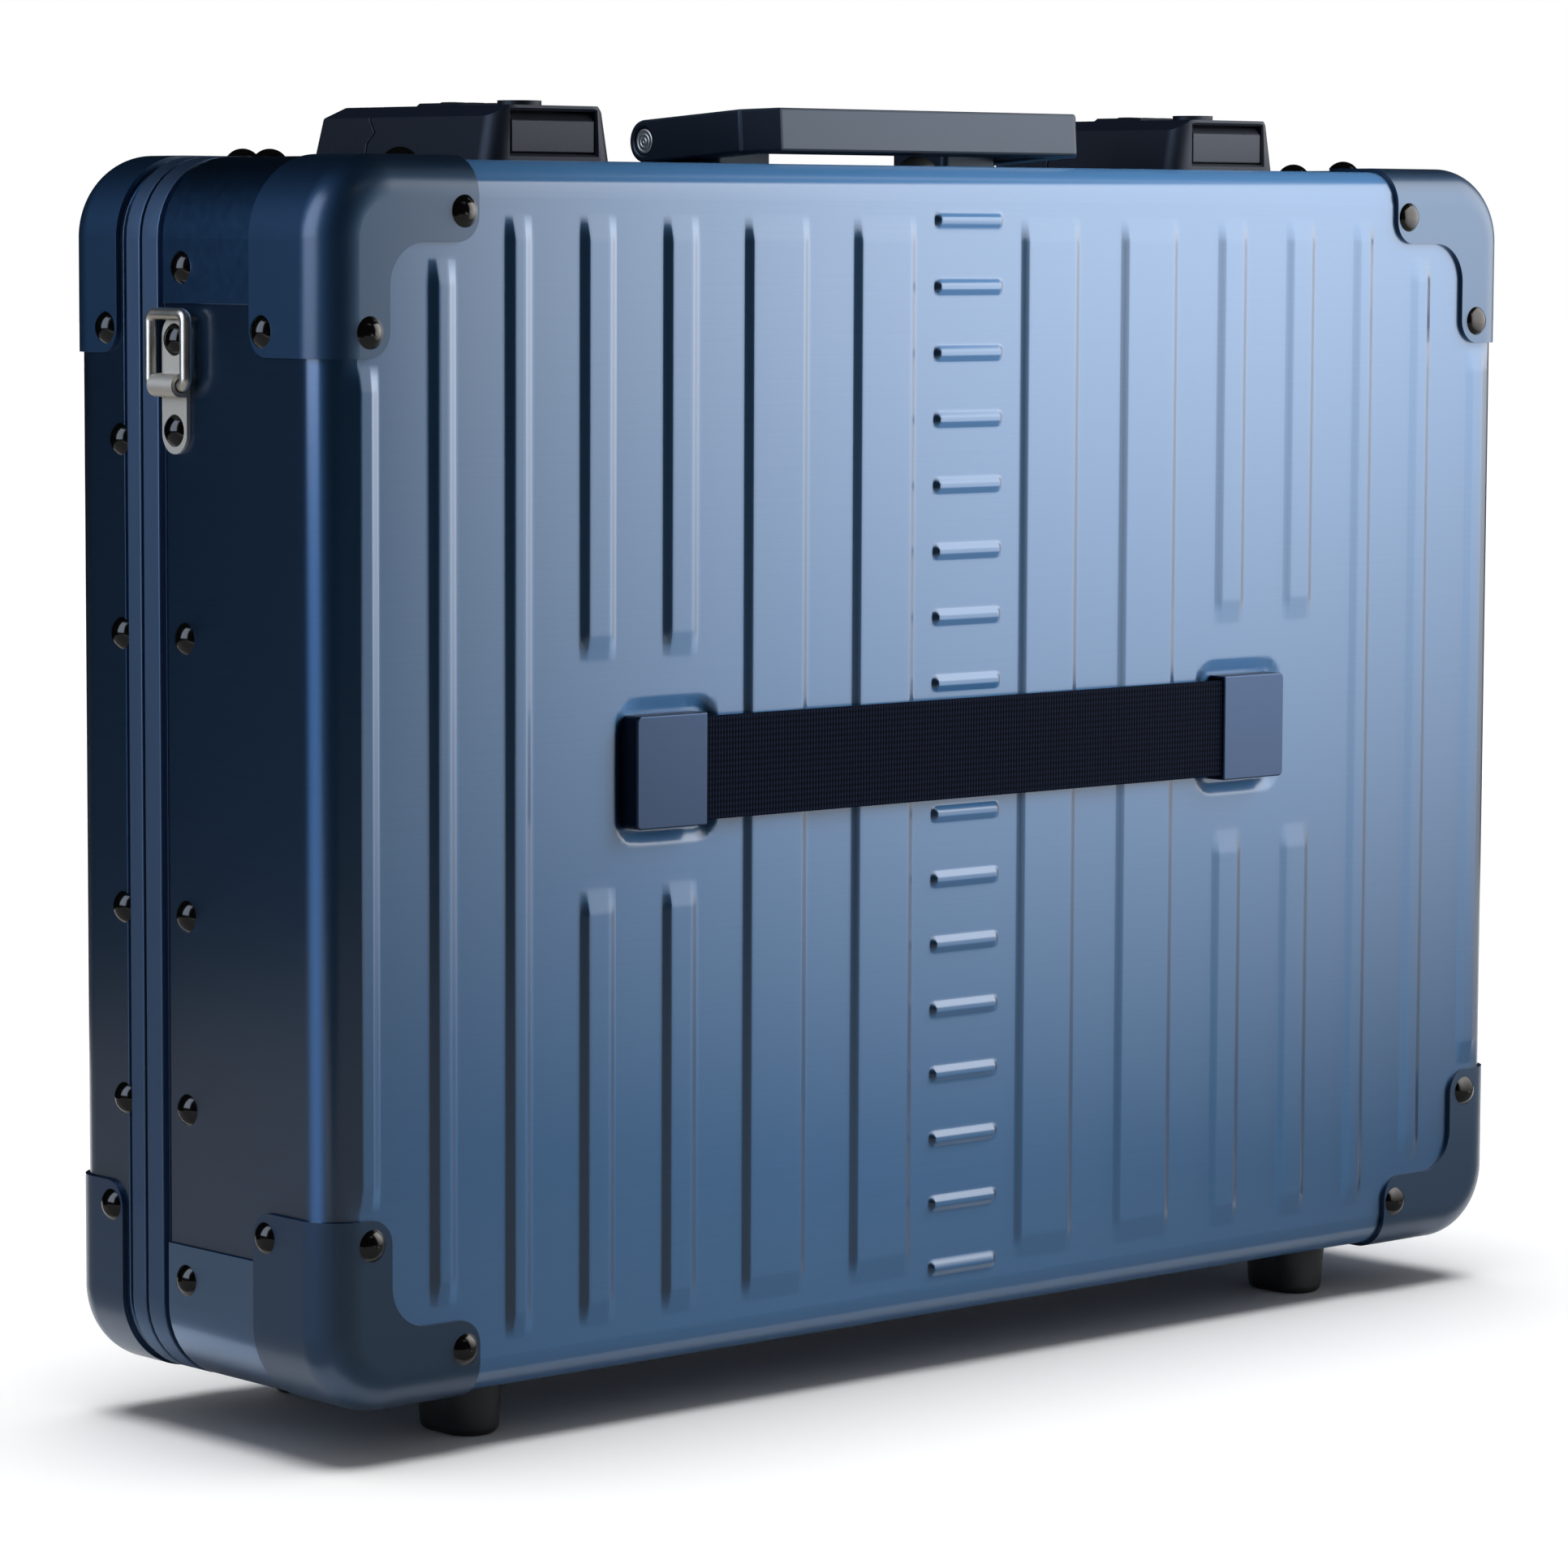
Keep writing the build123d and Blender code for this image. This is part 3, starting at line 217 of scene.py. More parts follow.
    facing = (1, inward, 1)
    places = np.concatenate(points) * facing + (0, y_face, z_middle)
    mesh = bpy.data.meshes.new(name)
    mesh.from_pydata(places.tolist(), [], faces)
    outsides = bmesh.new()
    outsides.from_mesh(mesh)
    bmesh.ops.recalc_face_normals(outsides, faces=outsides.faces)
    outsides.to_mesh(mesh)
    outsides.free()
    mesh.polygons.foreach_set("use_smooth", [True] * len(mesh.polygons))
    brushing = mesh.attributes.new("brushing", "FLOAT_VECTOR", "POINT")
    brushing.data.foreach_set("vector", (np.concatenate(strokes) * facing).ravel())
    tray = place_object(name, mesh)
    thickness = tray.modifiers.new("sheet", "SOLIDIFY")
    thickness.thickness = sheet
    thickness.offset = -1
    return tray


def colour(code):
    """An sRGB hex colour as linear red, green, blue and alpha."""
    values = [int(code[i : i + 2], 16) / 255 for i in (1, 3, 5)]
    return [v / 12.92 if v <= 0.04045 else ((v + 0.055) / 1.055) ** 2.4 for v in values] + [1]


def add_node(tree, kind, inputs, **settings):
    """Adds a shader node with its settings. An input is a value, or the socket that it is linked from."""
    node = tree.nodes.new("ShaderNode" + kind)
    for key, value in settings.items():
        setattr(node, key, value)
    for key, value in inputs.items():
        if isinstance(value, bpy.types.NodeSocket):
            tree.links.new(value, node.inputs[key])
        else:
            node.inputs[key].default_value = value
    return node


def new_finish(name, **sockets):
    """A material with the constants of its surface set on the shader: returns it, its tree and the shader."""
    material = bpy.data.materials.new(name)
    material.use_nodes = True
    shader = material.node_tree.nodes["Principled BSDF"]
    for key, value in sockets.items():
        shader.inputs[key.replace("_", " ")].default_value = value
    return material, material.node_tree, shader


# Brushed anodised aluminium: fine level scratches under a clear blue oxide film. The scratches spread the light
# up and down into a broad soft shine, the film mirrors a little more clearly, and the tone shifts from streak to
# streak. Real scratches are about 0.1 mm wide, and are drawn wider so that they show.
scratch_length, scratch_width = 40 * MM, 0.5 * MM
brushed_blue, tree, shader = new_finish(
    "brushed_blue_anodised_aluminium", Metallic=1.0, Anisotropic=0.95, Anisotropic_Rotation=0.25,
    Coat_Weight=1.0, Coat_IOR=1.7, Coat_Roughness=0.2,
)
along_sheet = add_node(tree, "Attribute", {}, attribute_name="brushing")
tree.links.new(along_sheet.outputs["Vector"], shader.inputs["Tangent"])
place = add_node(tree, "TexCoord", {})
stretched = add_node(tree, "Mapping", {
    "Vector": place.outputs["Object"], "Scale": (1 / scratch_length, 1 / scratch_length, 1 / scratch_width),
})
scratches = add_node(tree, "TexNoise", {"Vector": stretched.outputs["Vector"], "Scale": 1.0, "Detail": 3.0})
streak = scratches.outputs["Fac"]
tone = add_node(tree, "MapRange", {"Value": streak, "From Min": 0.3, "From Max": 0.7})
dye = add_node(
    tree, "Mix", {"Factor": tone.outputs["Result"], "A": colour("#3d6691"), "B": colour("#3f6a95")},
    data_type="RGBA",
)
tree.links.new(dye.outputs["Result"], shader.inputs["Base Color"])
gloss = add_node(tree, "MapRange", {"Value": streak, "To Min": 0.56, "To Max": 0.62})
tree.links.new(gloss.outputs["Result"], shader.inputs["Roughness"])
grain = add_node(tree, "Bump", {"Height": streak, "Strength": 0.03, "Distance": 0.02 * MM})
tree.links.new(grain.outputs["Normal"], shader.inputs["Normal"])

for name, y_face, inward, depth, broken, body in (
    ("body_shell", shell_low.y + bar_room, 1, shell_high.y - shell_low.y - bar_room, True, "body"),
    ("lid_shell", lid_high.y - bar_room, -1, lid_high.y - lid_low.y - bar_room, False, "lid"),
):
    shell = drawn_shell(f"pressed_{name}", y_face, inward, depth, broken)
    shell.data.materials.append(brushed_blue)
    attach(shell, body)
    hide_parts(name)

# Corner bands
# Four strips of rolled aluminium wrap the corners of the body's side walls, between the guards and the rim. They
# are bent round the corner, anodised blue and riveted on.
weld_reach = 0.01 * MM
sharp_angle = radians(32)


def coat(node_name, finish):
    """Gives a CAD node its finish, and returns it."""
    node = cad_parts[node_name]
    node.data.materials.clear()
    node.data.materials.append(finish)
    return node


def soften(node_name, edge, finish):
    """Gives a CAD node its finish and breaks its sharp edges, as a deburred or moulded piece has them."""
    node = coat(node_name, finish)
    node.modifiers.new("joined", "WELD").merge_threshold = weld_reach
    edges = node.modifiers.new("broken_edges", "BEVEL")
    edges.width = edge
    edges.segments = 2
    # With loop slide, a bevel runs out past the faces of some pieces
    edges.loop_slide = False
    edges.limit_method = "ANGLE"
    edges.angle_limit = sharp_angle
    node.modifiers.new("even_shine", "WEIGHTED_NORMAL").keep_sharp = True


# Rolled strip, anodised as it comes from the mill: an even film that mirrors softly, so it looks dark wherever it
# doesn't mirror a light, with a cloudiness of a few millimetres.
rolled_blue, tree, shader = new_finish(
    "rolled_blue_anodised_strip", Metallic=1.0, Base_Color=colour("#3e6893"),
    Coat_Weight=1.0, Coat_IOR=1.7, Coat_Roughness=0.2,
)
place = add_node(tree, "TexCoord", {})
film = add_node(tree, "TexNoise", {"Vector": place.outputs["Object"], "Scale": 1 / (3 * MM), "Detail": 3.0})
gloss = add_node(tree, "MapRange", {"Value": film.outputs["Fac"], "To Min": 0.3, "To Max": 0.38})
tree.links.new(gloss.outputs["Result"], shader.inputs["Roughness"])
soften("body_corner_bands", edge=0.15 * MM, finish=rolled_blue)

# Rims and gasket
# Two aluminium extrusions close the edges of the trays, drawn through a die, satin anodised and bent to shape.
# A square rubber seal lies in the groove of the lid's rim.

# Satin anodised extrusion: a dull, even grey blue shine, with faint lines that the die left along it. Real die
# lines are hair fine, and are drawn 0.4 mm wide so that they show.
die_run, die_line = 30 * MM, 0.4 * MM
satin_blue, tree, shader = new_finish("satin_anodised_extrusion", Metallic=1.0, Base_Color=colour("#586e8a"))
place = add_node(tree, "TexCoord", {})
die_lines = add_node(tree, "Mapping", {
    "Vector": place.outputs["Object"], "Scale": (1 / die_run, 1 / die_line, 1 / die_run),
})
drawn = add_node(tree, "TexNoise", {"Vector": die_lines.outputs["Vector"], "Scale": 1.0, "Detail": 2.0})
gloss = add_node(tree, "MapRange", {"Value": drawn.outputs["Fac"], "To Min": 0.48, "To Max": 0.6})
tree.links.new(gloss.outputs["Result"], shader.inputs["Roughness"])
grain = add_node(tree, "Bump", {"Height": drawn.outputs["Fac"], "Strength": 0.1, "Distance": 0.02 * MM})
tree.links.new(grain.outputs["Normal"], shader.inputs["Normal"])
for name in ("body_frame", "lid_frame"):
    soften(name, edge=0.35 * MM, finish=satin_blue)

# Moulded black rubber: deep blue black with a dull, cloudy shine. The bloom on real rubber is finer, and is drawn
# at 0.8 mm so that it shows.
black_rubber, tree, shader = new_finish("moulded_black_rubber", Base_Color=colour("#0a0e17"), IOR=1.52)
place = add_node(tree, "TexCoord", {})
bloom = add_node(tree, "TexNoise", {"Vector": place.outputs["Object"], "Scale": 1 / (0.8 * MM), "Detail": 4.0})
gloss = add_node(tree, "MapRange", {"Value": bloom.outputs["Fac"], "To Min": 0.45, "To Max": 0.65})
tree.links.new(gloss.outputs["Result"], shader.inputs["Roughness"])
matt = add_node(tree, "Bump", {"Height": bloom.outputs["Fac"], "Strength": 0.15, "Distance": 0.05 * MM})
tree.links.new(matt.outputs["Normal"], shader.inputs["Normal"])
soften("gasket", edge=0.2 * MM, finish=black_rubber)

# Liners
# Each half holds a tray of thermoformed board, glued in behind the pressed sheet. Its inner face is flocked with
# short grey fibres.

# Flock: a soft dark grey without shine, with a pale edge where the fibres catch the light. The fibres are about
# 0.6 mm long, and too thin to show one by one, so they are drawn as tufts of that size.
flock, tree, shader = new_finish("grey_flock", Roughness=0.95, Sheen_Weight=0.4, Sheen_Roughness=0.5)
place = add_node(tree, "TexCoord", {})
fibres = add_node(tree, "TexNoise", {"Vector": place.outputs["Object"], "Scale": 1 / (0.6 * MM), "Detail": 5.0})
pile = add_node(
    tree, "Mix", {"Factor": fibres.outputs["Fac"], "A": colour("#26282d"), "B": colour("#4a4d55")},
    data_type="RGBA",
)
tree.links.new(pile.outputs["Result"], shader.inputs["Base Color"])
nap = add_node(tree, "Bump", {"Height": fibres.outputs["Fac"], "Strength": 0.5, "Distance": 0.3 * MM})
tree.links.new(nap.outputs["Normal"], shader.inputs["Normal"])
for name in ("body_liner", "lid_liner"):
    soften(name, edge=0.3 * MM, finish=flock)

# Corner guards
# Eight pressed caps of thicker aluminium sheet wrap the corners and are riveted on. They are bead blasted before
# they are anodised, and their edges are rounded by tumbling.

# Bead blasted, anodised aluminium: darker and more even than the brushed trays, with a soft shine that runs over
# the bends. The beads' dimples are about 0.1 mm, and are drawn at 0.7 mm so that they show.
blasted, tree, shader = new_finish(
    "bead_blasted_anodised_aluminium", Metallic=1.0, Coat_Weight=0.8, Coat_IOR=1.6, Coat_Roughness=0.28
)
place = add_node(tree, "TexCoord", {})
beads = add_node(tree, "TexNoise", {"Vector": place.outputs["Object"], "Scale": 1 / (0.7 * MM), "Detail": 3.0})
tone = add_node(
    tree, "Mix", {"Factor": beads.outputs["Fac"], "A": colour("#2b4865"), "B": colour("#2d4a69")},
    data_type="RGBA",
)
tree.links.new(tone.outputs["Result"], shader.inputs["Base Color"])
gloss = add_node(tree, "MapRange", {"Value": beads.outputs["Fac"], "To Min": 0.54, "To Max": 0.62})
tree.links.new(gloss.outputs["Result"], shader.inputs["Roughness"])
dimples = add_node(tree, "Bump", {"Height": beads.outputs["Fac"], "Strength": 0.08, "Distance": 0.03 * MM})
tree.links.new(dimples.outputs["Normal"], shader.inputs["Normal"])
for half in ("body", "lid"):
    for level in ("lower", "upper"):
        for side in ("left", "right"):
            soften(f"{half}_guard_{level}_{side}", edge=0.5 * MM, finish=blasted)

# Rivets
# Domed steel rivets, black plated and lacquered, hold the guards, bands, rims and strap brackets. Their heads come
# smooth from the die, so they have no edges to break.

# Lacquered steel: black with a small bright glint on each dome, dulled here and there by scuffs of about 1.5 mm.
black_lacquer, tree, shader = new_finish("black_lacquered_steel", Base_Color=colour("#070707"), IOR=1.5)
place = add_node(tree, "TexCoord", {})
scuffs = add_node(tree, "TexNoise", {"Vector": place.outputs["Object"], "Scale": 1 / (1.5 * MM), "Detail": 4.0})
gloss = add_node(tree, "MapRange", {"Value": scuffs.outputs["Fac"], "To Min": 0.08, "To Max": 0.18})
tree.links.new(gloss.outputs["Result"], shader.inputs["Roughness"])
for name in ("body_rivets", "lid_rivets"):
    coat(name, black_lacquer)

# Elastic strap
# A woven elastic band 28 mm wide lies across the face, its ends tucked under the clips. Covered rubber threads run
# its length, and the filling threads show as fine upright columns. Both are drawn coarser so that they show.
column_pitch = 1.05 * MM
thread_pitch = 1.6 * MM
thread_steps = 4
weave_rise = 0.25 * MM
strap_edge = 0.5 * MM
edge_thinning = 0.5
strap_low, strap_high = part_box("elastic_strap")
strap_length = strap_high.x - strap_low.x
strap_width = strap_high.z - strap_low.z
strap_half = (strap_high.y - strap_low.y) / 2
strap_middle = (strap_low.y + strap_high.y) / 2
steps_along = round(strap_length / column_pitch) * thread_steps
steps_across = round(strap_width / thread_pitch) * thread_steps
vertices, faces = [], []
for face_side in (-1, 1):
    for i in range(steps_along + 1):
        for k in range(steps_across + 1):
            x = strap_low.x + strap_length * i / steps_along
            z = strap_low.z + strap_width * k / steps_across
            woven = abs(sin(pi * i / thread_steps)) * (0.5 + 0.5 * abs(sin(pi * k / thread_steps)))
            from_edge = min(z - strap_low.z, strap_high.z - z) / strap_edge
            thinned = edge_thinning * strap_half * max(0, 1 - from_edge) ** 2
            thickness = strap_half - weave_rise * (1 - woven) - thinned
            vertices.append((x, strap_middle + face_side * thickness, z))
row = steps_across + 1
layer = row * (steps_along + 1)
for i in range(steps_along):
    for k in range(steps_across):
        a = i * row + k
        b = layer + a
        faces += [(a, a + row, a + row + 1, a + 1), (b, b + 1, b + row + 1, b + row)]
for i in range(steps_along):
    for k in (0, steps_across):
        a, b = i * row + k, (i + 1) * row + k
        faces.append((a, layer + a, layer + b, b) if k == 0 else (a, b, layer + b, layer + a))
strap_mesh = bpy.data.meshes.new("woven_strap")
strap_mesh.from_pydata(vertices, [], faces)
strap_mesh.polygons.foreach_set("use_smooth", [True] * len(strap_mesh.polygons))
strap = place_object("woven_strap", strap_mesh)

# Woven elastic: blue black and dull, with a painted highlight that makes it paler where a thread comes up and
# painted shade that makes it nearly black in the gaps between. The fuzz on the yarn is drawn at 0.5 mm, which is
# coarser than it is.
webbing, tree, shader = new_finish("woven_elastic", Roughness=0.9, Specular_IOR_Level=0.06)
place = add_node(tree, "TexCoord", {})
fuzz = add_node(tree, "TexNoise", {"Vector": place.outputs["Object"], "Scale": 1 / (0.5 * MM), "Detail": 3.0})
# A wave texture of scale 1 repeats after this length, so this over a pitch is the scale for that pitch
wave_turn = 2 * pi / 20
threads = []
for axis, start, pitch in (
    ("X", strap_low.x, thread_steps * strap_length / steps_along),
    ("Z", strap_low.z, thread_steps * strap_width / steps_across),
):
    threads.append(add_node(
        tree, "TexWave",
        {"Vector": place.outputs["Object"], "Scale": wave_turn / pitch, "Phase Offset": -2 * pi * start / pitch},
        bands_direction=axis,
    ))
# The two thread waves make a mask of painted highlight on the raised threads and painted shade between them
across_thread_highlight = add_node(tree, "MapRange", {"Value": threads[1].outputs["Fac"], "To Min": 0.4})
raised_thread_highlight = add_node(tree, "Math", {0: threads[0].outputs["Fac"], 1: across_thread_highlight.outputs["Result"]}, operation="MULTIPLY")
# Painted highlight and shade: the mask mixes near black gaps with pale raised threads
painted_thread_light = add_node(
    tree, "Mix", {"Factor": raised_thread_highlight.outputs["Value"], "A": colour("#02040a"), "B": colour("#1d2842")},
    data_type="RGBA",
)
tree.links.new(painted_thread_light.outputs["Result"], shader.inputs["Base Color"])
twist = add_node(tree, "Bump", {"Height": fuzz.outputs["Fac"], "Strength": 0.4, "Distance": 0.1 * MM})
tree.links.new(twist.outputs["Normal"], shader.inputs["Normal"])
strap_mesh.materials.append(webbing)
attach(strap, "body")
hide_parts("elastic_strap")

# Strap clips
# Two channels of bent aluminium strip bridge the strap's ends and hold them down in their pockets. The strip is
# brushed along the case and anodised grey blue.

# Satin anodised clip: a soft grey blue shine with fine level strokes. Real strokes are about 0.1 mm wide, and are
# drawn at 0.3 mm so that they show.
stroke_length, stroke_width = 15 * MM, 0.3 * MM
satin_grey, tree, shader = new_finish("satin_anodised_clip", Metallic=1.0)
place = add_node(tree, "TexCoord", {})
brush = add_node(tree, "Mapping", {
    "Vector": place.outputs["Object"], "Scale": (1 / stroke_length, 1 / stroke_length, 1 / stroke_width),
})
strokes = add_node(tree, "TexNoise", {"Vector": brush.outputs["Vector"], "Scale": 1.0, "Detail": 2.0})
tone = add_node(
    tree, "Mix", {"Factor": strokes.outputs["Fac"], "A": colour("#3b4a63"), "B": colour("#42526c")},
    data_type="RGBA",
)
tree.links.new(tone.outputs["Result"], shader.inputs["Base Color"])
gloss = add_node(tree, "MapRange", {"Value": strokes.outputs["Fac"], "To Min": 0.3, "To Max": 0.42})
tree.links.new(gloss.outputs["Result"], shader.inputs["Roughness"])
for side in ("left", "right"):
    soften(f"strap_clip_{side}", edge=0.3 * MM, finish=satin_grey)

# Feet
# Four solid blocks of moulded rubber, screwed to the bottom walls beside the guards, carry the case. They are of
# the same black rubber as the gasket.
for half in ("body", "lid"):
    for side in ("left", "right"):
        soften(f"{half}_foot_{side}", edge=0.3 * MM, finish=black_rubber)

# Handle
# A flat bar bent to a U and mitred at its corners, painted blue black, swings on two turned pins in cast brackets
# and rests on a clear polyurethane bumper.

# Satin painted aluminium: blue black, with a cool shine that the brushed metal under the paint breaks into faint
# strokes along the bar. These are drawn 0.5 mm wide, which is coarser than they are, so that they show.
bar_stroke, bar_stroke_width = 25 * MM, 0.5 * MM
satin_paint, tree, shader = new_finish("satin_painted_aluminium", IOR=1.5, Specular_Tint=colour("#d3e8ff"))
place = add_node(tree, "TexCoord", {})
brush = add_node(tree, "Mapping", {
    "Vector": place.outputs["Object"], "Scale": (1 / bar_stroke, 1 / bar_stroke_width, 1 / bar_stroke_width),
})
strokes = add_node(tree, "TexNoise", {"Vector": brush.outputs["Vector"], "Scale": 1.0, "Detail": 3.0})
tone = add_node(
    tree, "Mix", {"Factor": strokes.outputs["Fac"], "A": colour("#1b2535"), "B": colour("#222c3e")},
    data_type="RGBA",
)
tree.links.new(tone.outputs["Result"], shader.inputs["Base Color"])
gloss = add_node(tree, "MapRange", {"Value": strokes.outputs["Fac"], "To Min": 0.32, "To Max": 0.42})
tree.links.new(gloss.outputs["Result"], shader.inputs["Roughness"])
soften("handle", edge=0.7 * MM, finish=satin_paint)
for side in ("left", "right"):
    soften(f"handle_bracket_{side}", edge=0.5 * MM, finish=satin_paint)

# Turned steel: bright and neutral, with rings left by the lathe tool that fan the light out from the middle of
# each face. Real tool marks are about 0.2 mm apart, and are drawn 1.2 mm apart so that they show.
tool_pitch = 1.2 * MM
turned_steel, tree, shader = new_finish("turned_steel", Metallic=1.0, Base_Color=colour("#cbc9c4"), Roughness=0.4)
pins_low, pins_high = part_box("handle_pins")
pin_axis = (pins_low + pins_high) / 2
place = add_node(tree, "TexCoord", {})
from_axis = add_node(tree, "Mapping", {"Vector": place.outputs["Object"], "Location": -pin_axis})
tool_marks = add_node(
    tree, "TexWave", {"Vector": from_axis.outputs["Vector"], "Scale": wave_turn / tool_pitch},
    wave_type="RINGS", rings_direction="X",
)
facing = add_node(tree, "Bump", {"Height": tool_marks.outputs["Fac"], "Strength": 0.8, "Distance": 0.15 * MM})
tree.links.new(facing.outputs["Normal"], shader.inputs["Normal"])
soften("handle_pins", edge=0.3 * MM, finish=turned_steel)

# Cast polyurethane: clear grey and a little milky, with a haze on its skin in patches of about 2 mm.
clear_rubber, tree, shader = new_finish(
    "clear_polyurethane", Base_Color=colour("#9fa1a3"), Transmission_Weight=0.7, IOR=1.5
)
place = add_node(tree, "TexCoord", {})
haze = add_node(tree, "TexNoise", {"Vector": place.outputs["Object"], "Scale": 1 / (2 * MM), "Detail": 2.0})
gloss = add_node(tree, "MapRange", {"Value": haze.outputs["Fac"], "To Min": 0.2, "To Max": 0.45})
tree.links.new(gloss.outputs["Result"], shader.inputs["Roughness"])
soften("handle_bumper", edge=0.2 * MM, finish=clear_rubber)

# Strap rings
# A nickel plated steel plate is riveted to each side wall and curled round the lower bar of a bent wire ring. The
# plates are tumbled before plating, and the rings are plated as drawn.

# Nickel plated steel: warm and bright, clouded by a little tarnish in patches of about 4 mm.
nickel, tree, shader = new_finish("nickel_plated_steel", Metallic=1.0)
place = add_node(tree, "TexCoord", {})
tarnish = add_node(tree, "TexNoise", {"Vector": place.outputs["Object"], "Scale": 1 / (4 * MM), "Detail": 5.0})
tone = add_node(
    tree, "Mix", {"Factor": tarnish.outputs["Fac"], "A": colour("#cfc8ba"), "B": colour("#e6e1d7")},
    data_type="RGBA",
)
tree.links.new(tone.outputs["Result"], shader.inputs["Base Color"])
gloss = add_node(tree, "MapRange", {"Value": tarnish.outputs["Fac"], "To Min": 0.28, "To Max": 0.42})
tree.links.new(gloss.outputs["Result"], shader.inputs["Roughness"])

# Tumbled nickel plate: the same warm metal, dulled all over by small pits. These are drawn at 1 mm, which is
# coarser than they are, so that they show.
tumbled, tree, shader = new_finish("tumbled_nickel_plate", Metallic=1.0, Base_Color=colour("#d8d2c6"))
place = add_node(tree, "TexCoord", {})
pits = add_node(tree, "TexNoise", {"Vector": place.outputs["Object"], "Scale": 1 / (1.0 * MM), "Detail": 4.0})
gloss = add_node(tree, "MapRange", {"Value": pits.outputs["Fac"], "To Min": 0.5, "To Max": 0.66})
tree.links.new(gloss.outputs["Result"], shader.inputs["Roughness"])
for side in ("left", "right"):
    soften(f"ring_bracket_{side}", edge=0.3 * MM, finish=tumbled)
    soften(f"strap_ring_{side}", edge=0.2 * MM, finish=nickel)

# Hinge and stays
# A piano hinge of steel strip joins the rims below, its knuckles rolled round one long pin. Two slotted arms inside
# hold the open lid: each turns on a pivot in the lid and slides along a stud in the body. All are zinc plated.

# Zinc plate: a pale cool grey, with small crystals of about 1.8 mm that differ a little in tone and shine.
zinc, tree, shader = new_finish("zinc_plated_steel", Metallic=1.0)
place = add_node(tree, "TexCoord", {})
spangle = add_node(tree, "TexVoronoi", {"Vector": place.outputs["Object"], "Scale": 1 / (1.8 * MM)})
tone = add_node(
    tree, "Mix", {"Factor": spangle.outputs["Distance"], "A": colour("#9a9da1"), "B": colour("#b9bbbd")},
    data_type="RGBA",
)
tree.links.new(tone.outputs["Result"], shader.inputs["Base Color"])
gloss = add_node(tree, "MapRange", {"Value": spangle.outputs["Distance"], "To Min": 0.3, "To Max": 0.42})
tree.links.new(gloss.outputs["Result"], shader.inputs["Roughness"])
for name in (
    "hinge_body_leaf", "hinge_lid_leaf", "hinge_pin",
    "stay_arm_left", "stay_arm_right", "stay_studs", "stay_pivots",
):
    soften(name, edge=0.15 * MM, finish=zinc)

# Locks
# Each lock is a moulded case on the body and a hasp on the lid, in black glass-filled nylon with a sandy texture.
# A panel in the front is pushed to let go, a steel latch and axle sit inside, and the key plug is turned steel.

# Textured nylon: blue black with a broad dull shine that the sandy grain breaks up. Real grain is about 0.1 mm, and
# is drawn at 0.45 mm so that it shows.
black_nylon, tree, shader = new_finish(
    "textured_black_nylon", Base_Color=colour("#0d1320"), IOR=1.5, Specular_Tint=colour("#cfdcf2")
)
place = add_node(tree, "TexCoord", {})
sand = add_node(tree, "TexNoise", {"Vector": place.outputs["Object"], "Scale": 1 / (0.45 * MM), "Detail": 2.0})
gloss = add_node(tree, "MapRange", {"Value": sand.outputs["Fac"], "To Min": 0.42, "To Max": 0.58})
tree.links.new(gloss.outputs["Result"], shader.inputs["Roughness"])
texture = add_node(tree, "Bump", {"Height": sand.outputs["Fac"], "Strength": 0.35, "Distance": 0.08 * MM})
tree.links.new(texture.outputs["Normal"], shader.inputs["Normal"])
for side in ("left", "right"):
    for name in ("lock_case", "hasp", "release_button"):
        soften(f"{name}_{side}", edge=0.3 * MM, finish=black_nylon)
    for name in ("latch", "dial_axle"):
        soften(f"{name}_{side}", edge=0.15 * MM, finish=zinc)
    soften(f"key_plug_{side}", edge=0.2 * MM, finish=turned_steel)

# Dials
# Three ten-sided wheels turn on the axle of each lock. They are moulded in black acetal, and white numbers are pad
# printed on their flats.
dial_numbers = (1, 2, 3)
digit_height = 3.6 * MM
print_thickness = 0.04 * MM

# Moulded acetal: black and glossy, with slight flow marks of about 1.2 mm in the gloss.
acetal, tree, shader = new_finish("black_acetal", Base_Color=colour("#121317"), IOR=1.48)
place = add_node(tree, "TexCoord", {})
flow = add_node(tree, "TexNoise", {"Vector": place.outputs["Object"], "Scale": 1 / (1.2 * MM), "Detail": 2.0})
gloss = add_node(tree, "MapRange", {"Value": flow.outputs["Fac"], "To Min": 0.18, "To Max": 0.3})
tree.links.new(gloss.outputs["Result"], shader.inputs["Roughness"])
for side in ("left", "right"):
    for number in dial_numbers:
        soften(f"dial_{side}_{number}", edge=0.25 * MM, finish=acetal)

# Pad printed ink: flat white, a little thinner in specks of about 0.4 mm where the pad let go unevenly.
white_print, tree, shader = new_finish("white_pad_print", IOR=1.5)
place = add_node(tree, "TexCoord", {})
ink = add_node(tree, "TexNoise", {"Vector": place.outputs["Object"], "Scale": 1 / (0.4 * MM), "Detail": 2.0})
tone = add_node(
    tree, "Mix", {"Factor": ink.outputs["Fac"], "A": colour("#c9c9c6"), "B": colour("#e4e4e0")},
    data_type="RGBA",
)
tree.links.new(tone.outputs["Result"], shader.inputs["Base Color"])
gloss = add_node(tree, "MapRange", {"Value": ink.outputs["Fac"], "To Min": 0.4, "To Max": 0.55})
tree.links.new(gloss.outputs["Result"], shader.inputs["Roughness"])
digits = []
for digit in range(10):
    lettering = bpy.data.curves.new("digit", "FONT")
    lettering.body = str(digit)
    lettering.size = digit_height
    lettering.align_x = "CENTER"
    lettering.align_y = "CENTER"
    lettering.extrude = print_thickness
    pattern = bpy.data.objects.new("digit", lettering)
    digits.append(bpy.data.meshes.new_from_object(pattern))
    bpy.data.objects.remove(pattern)
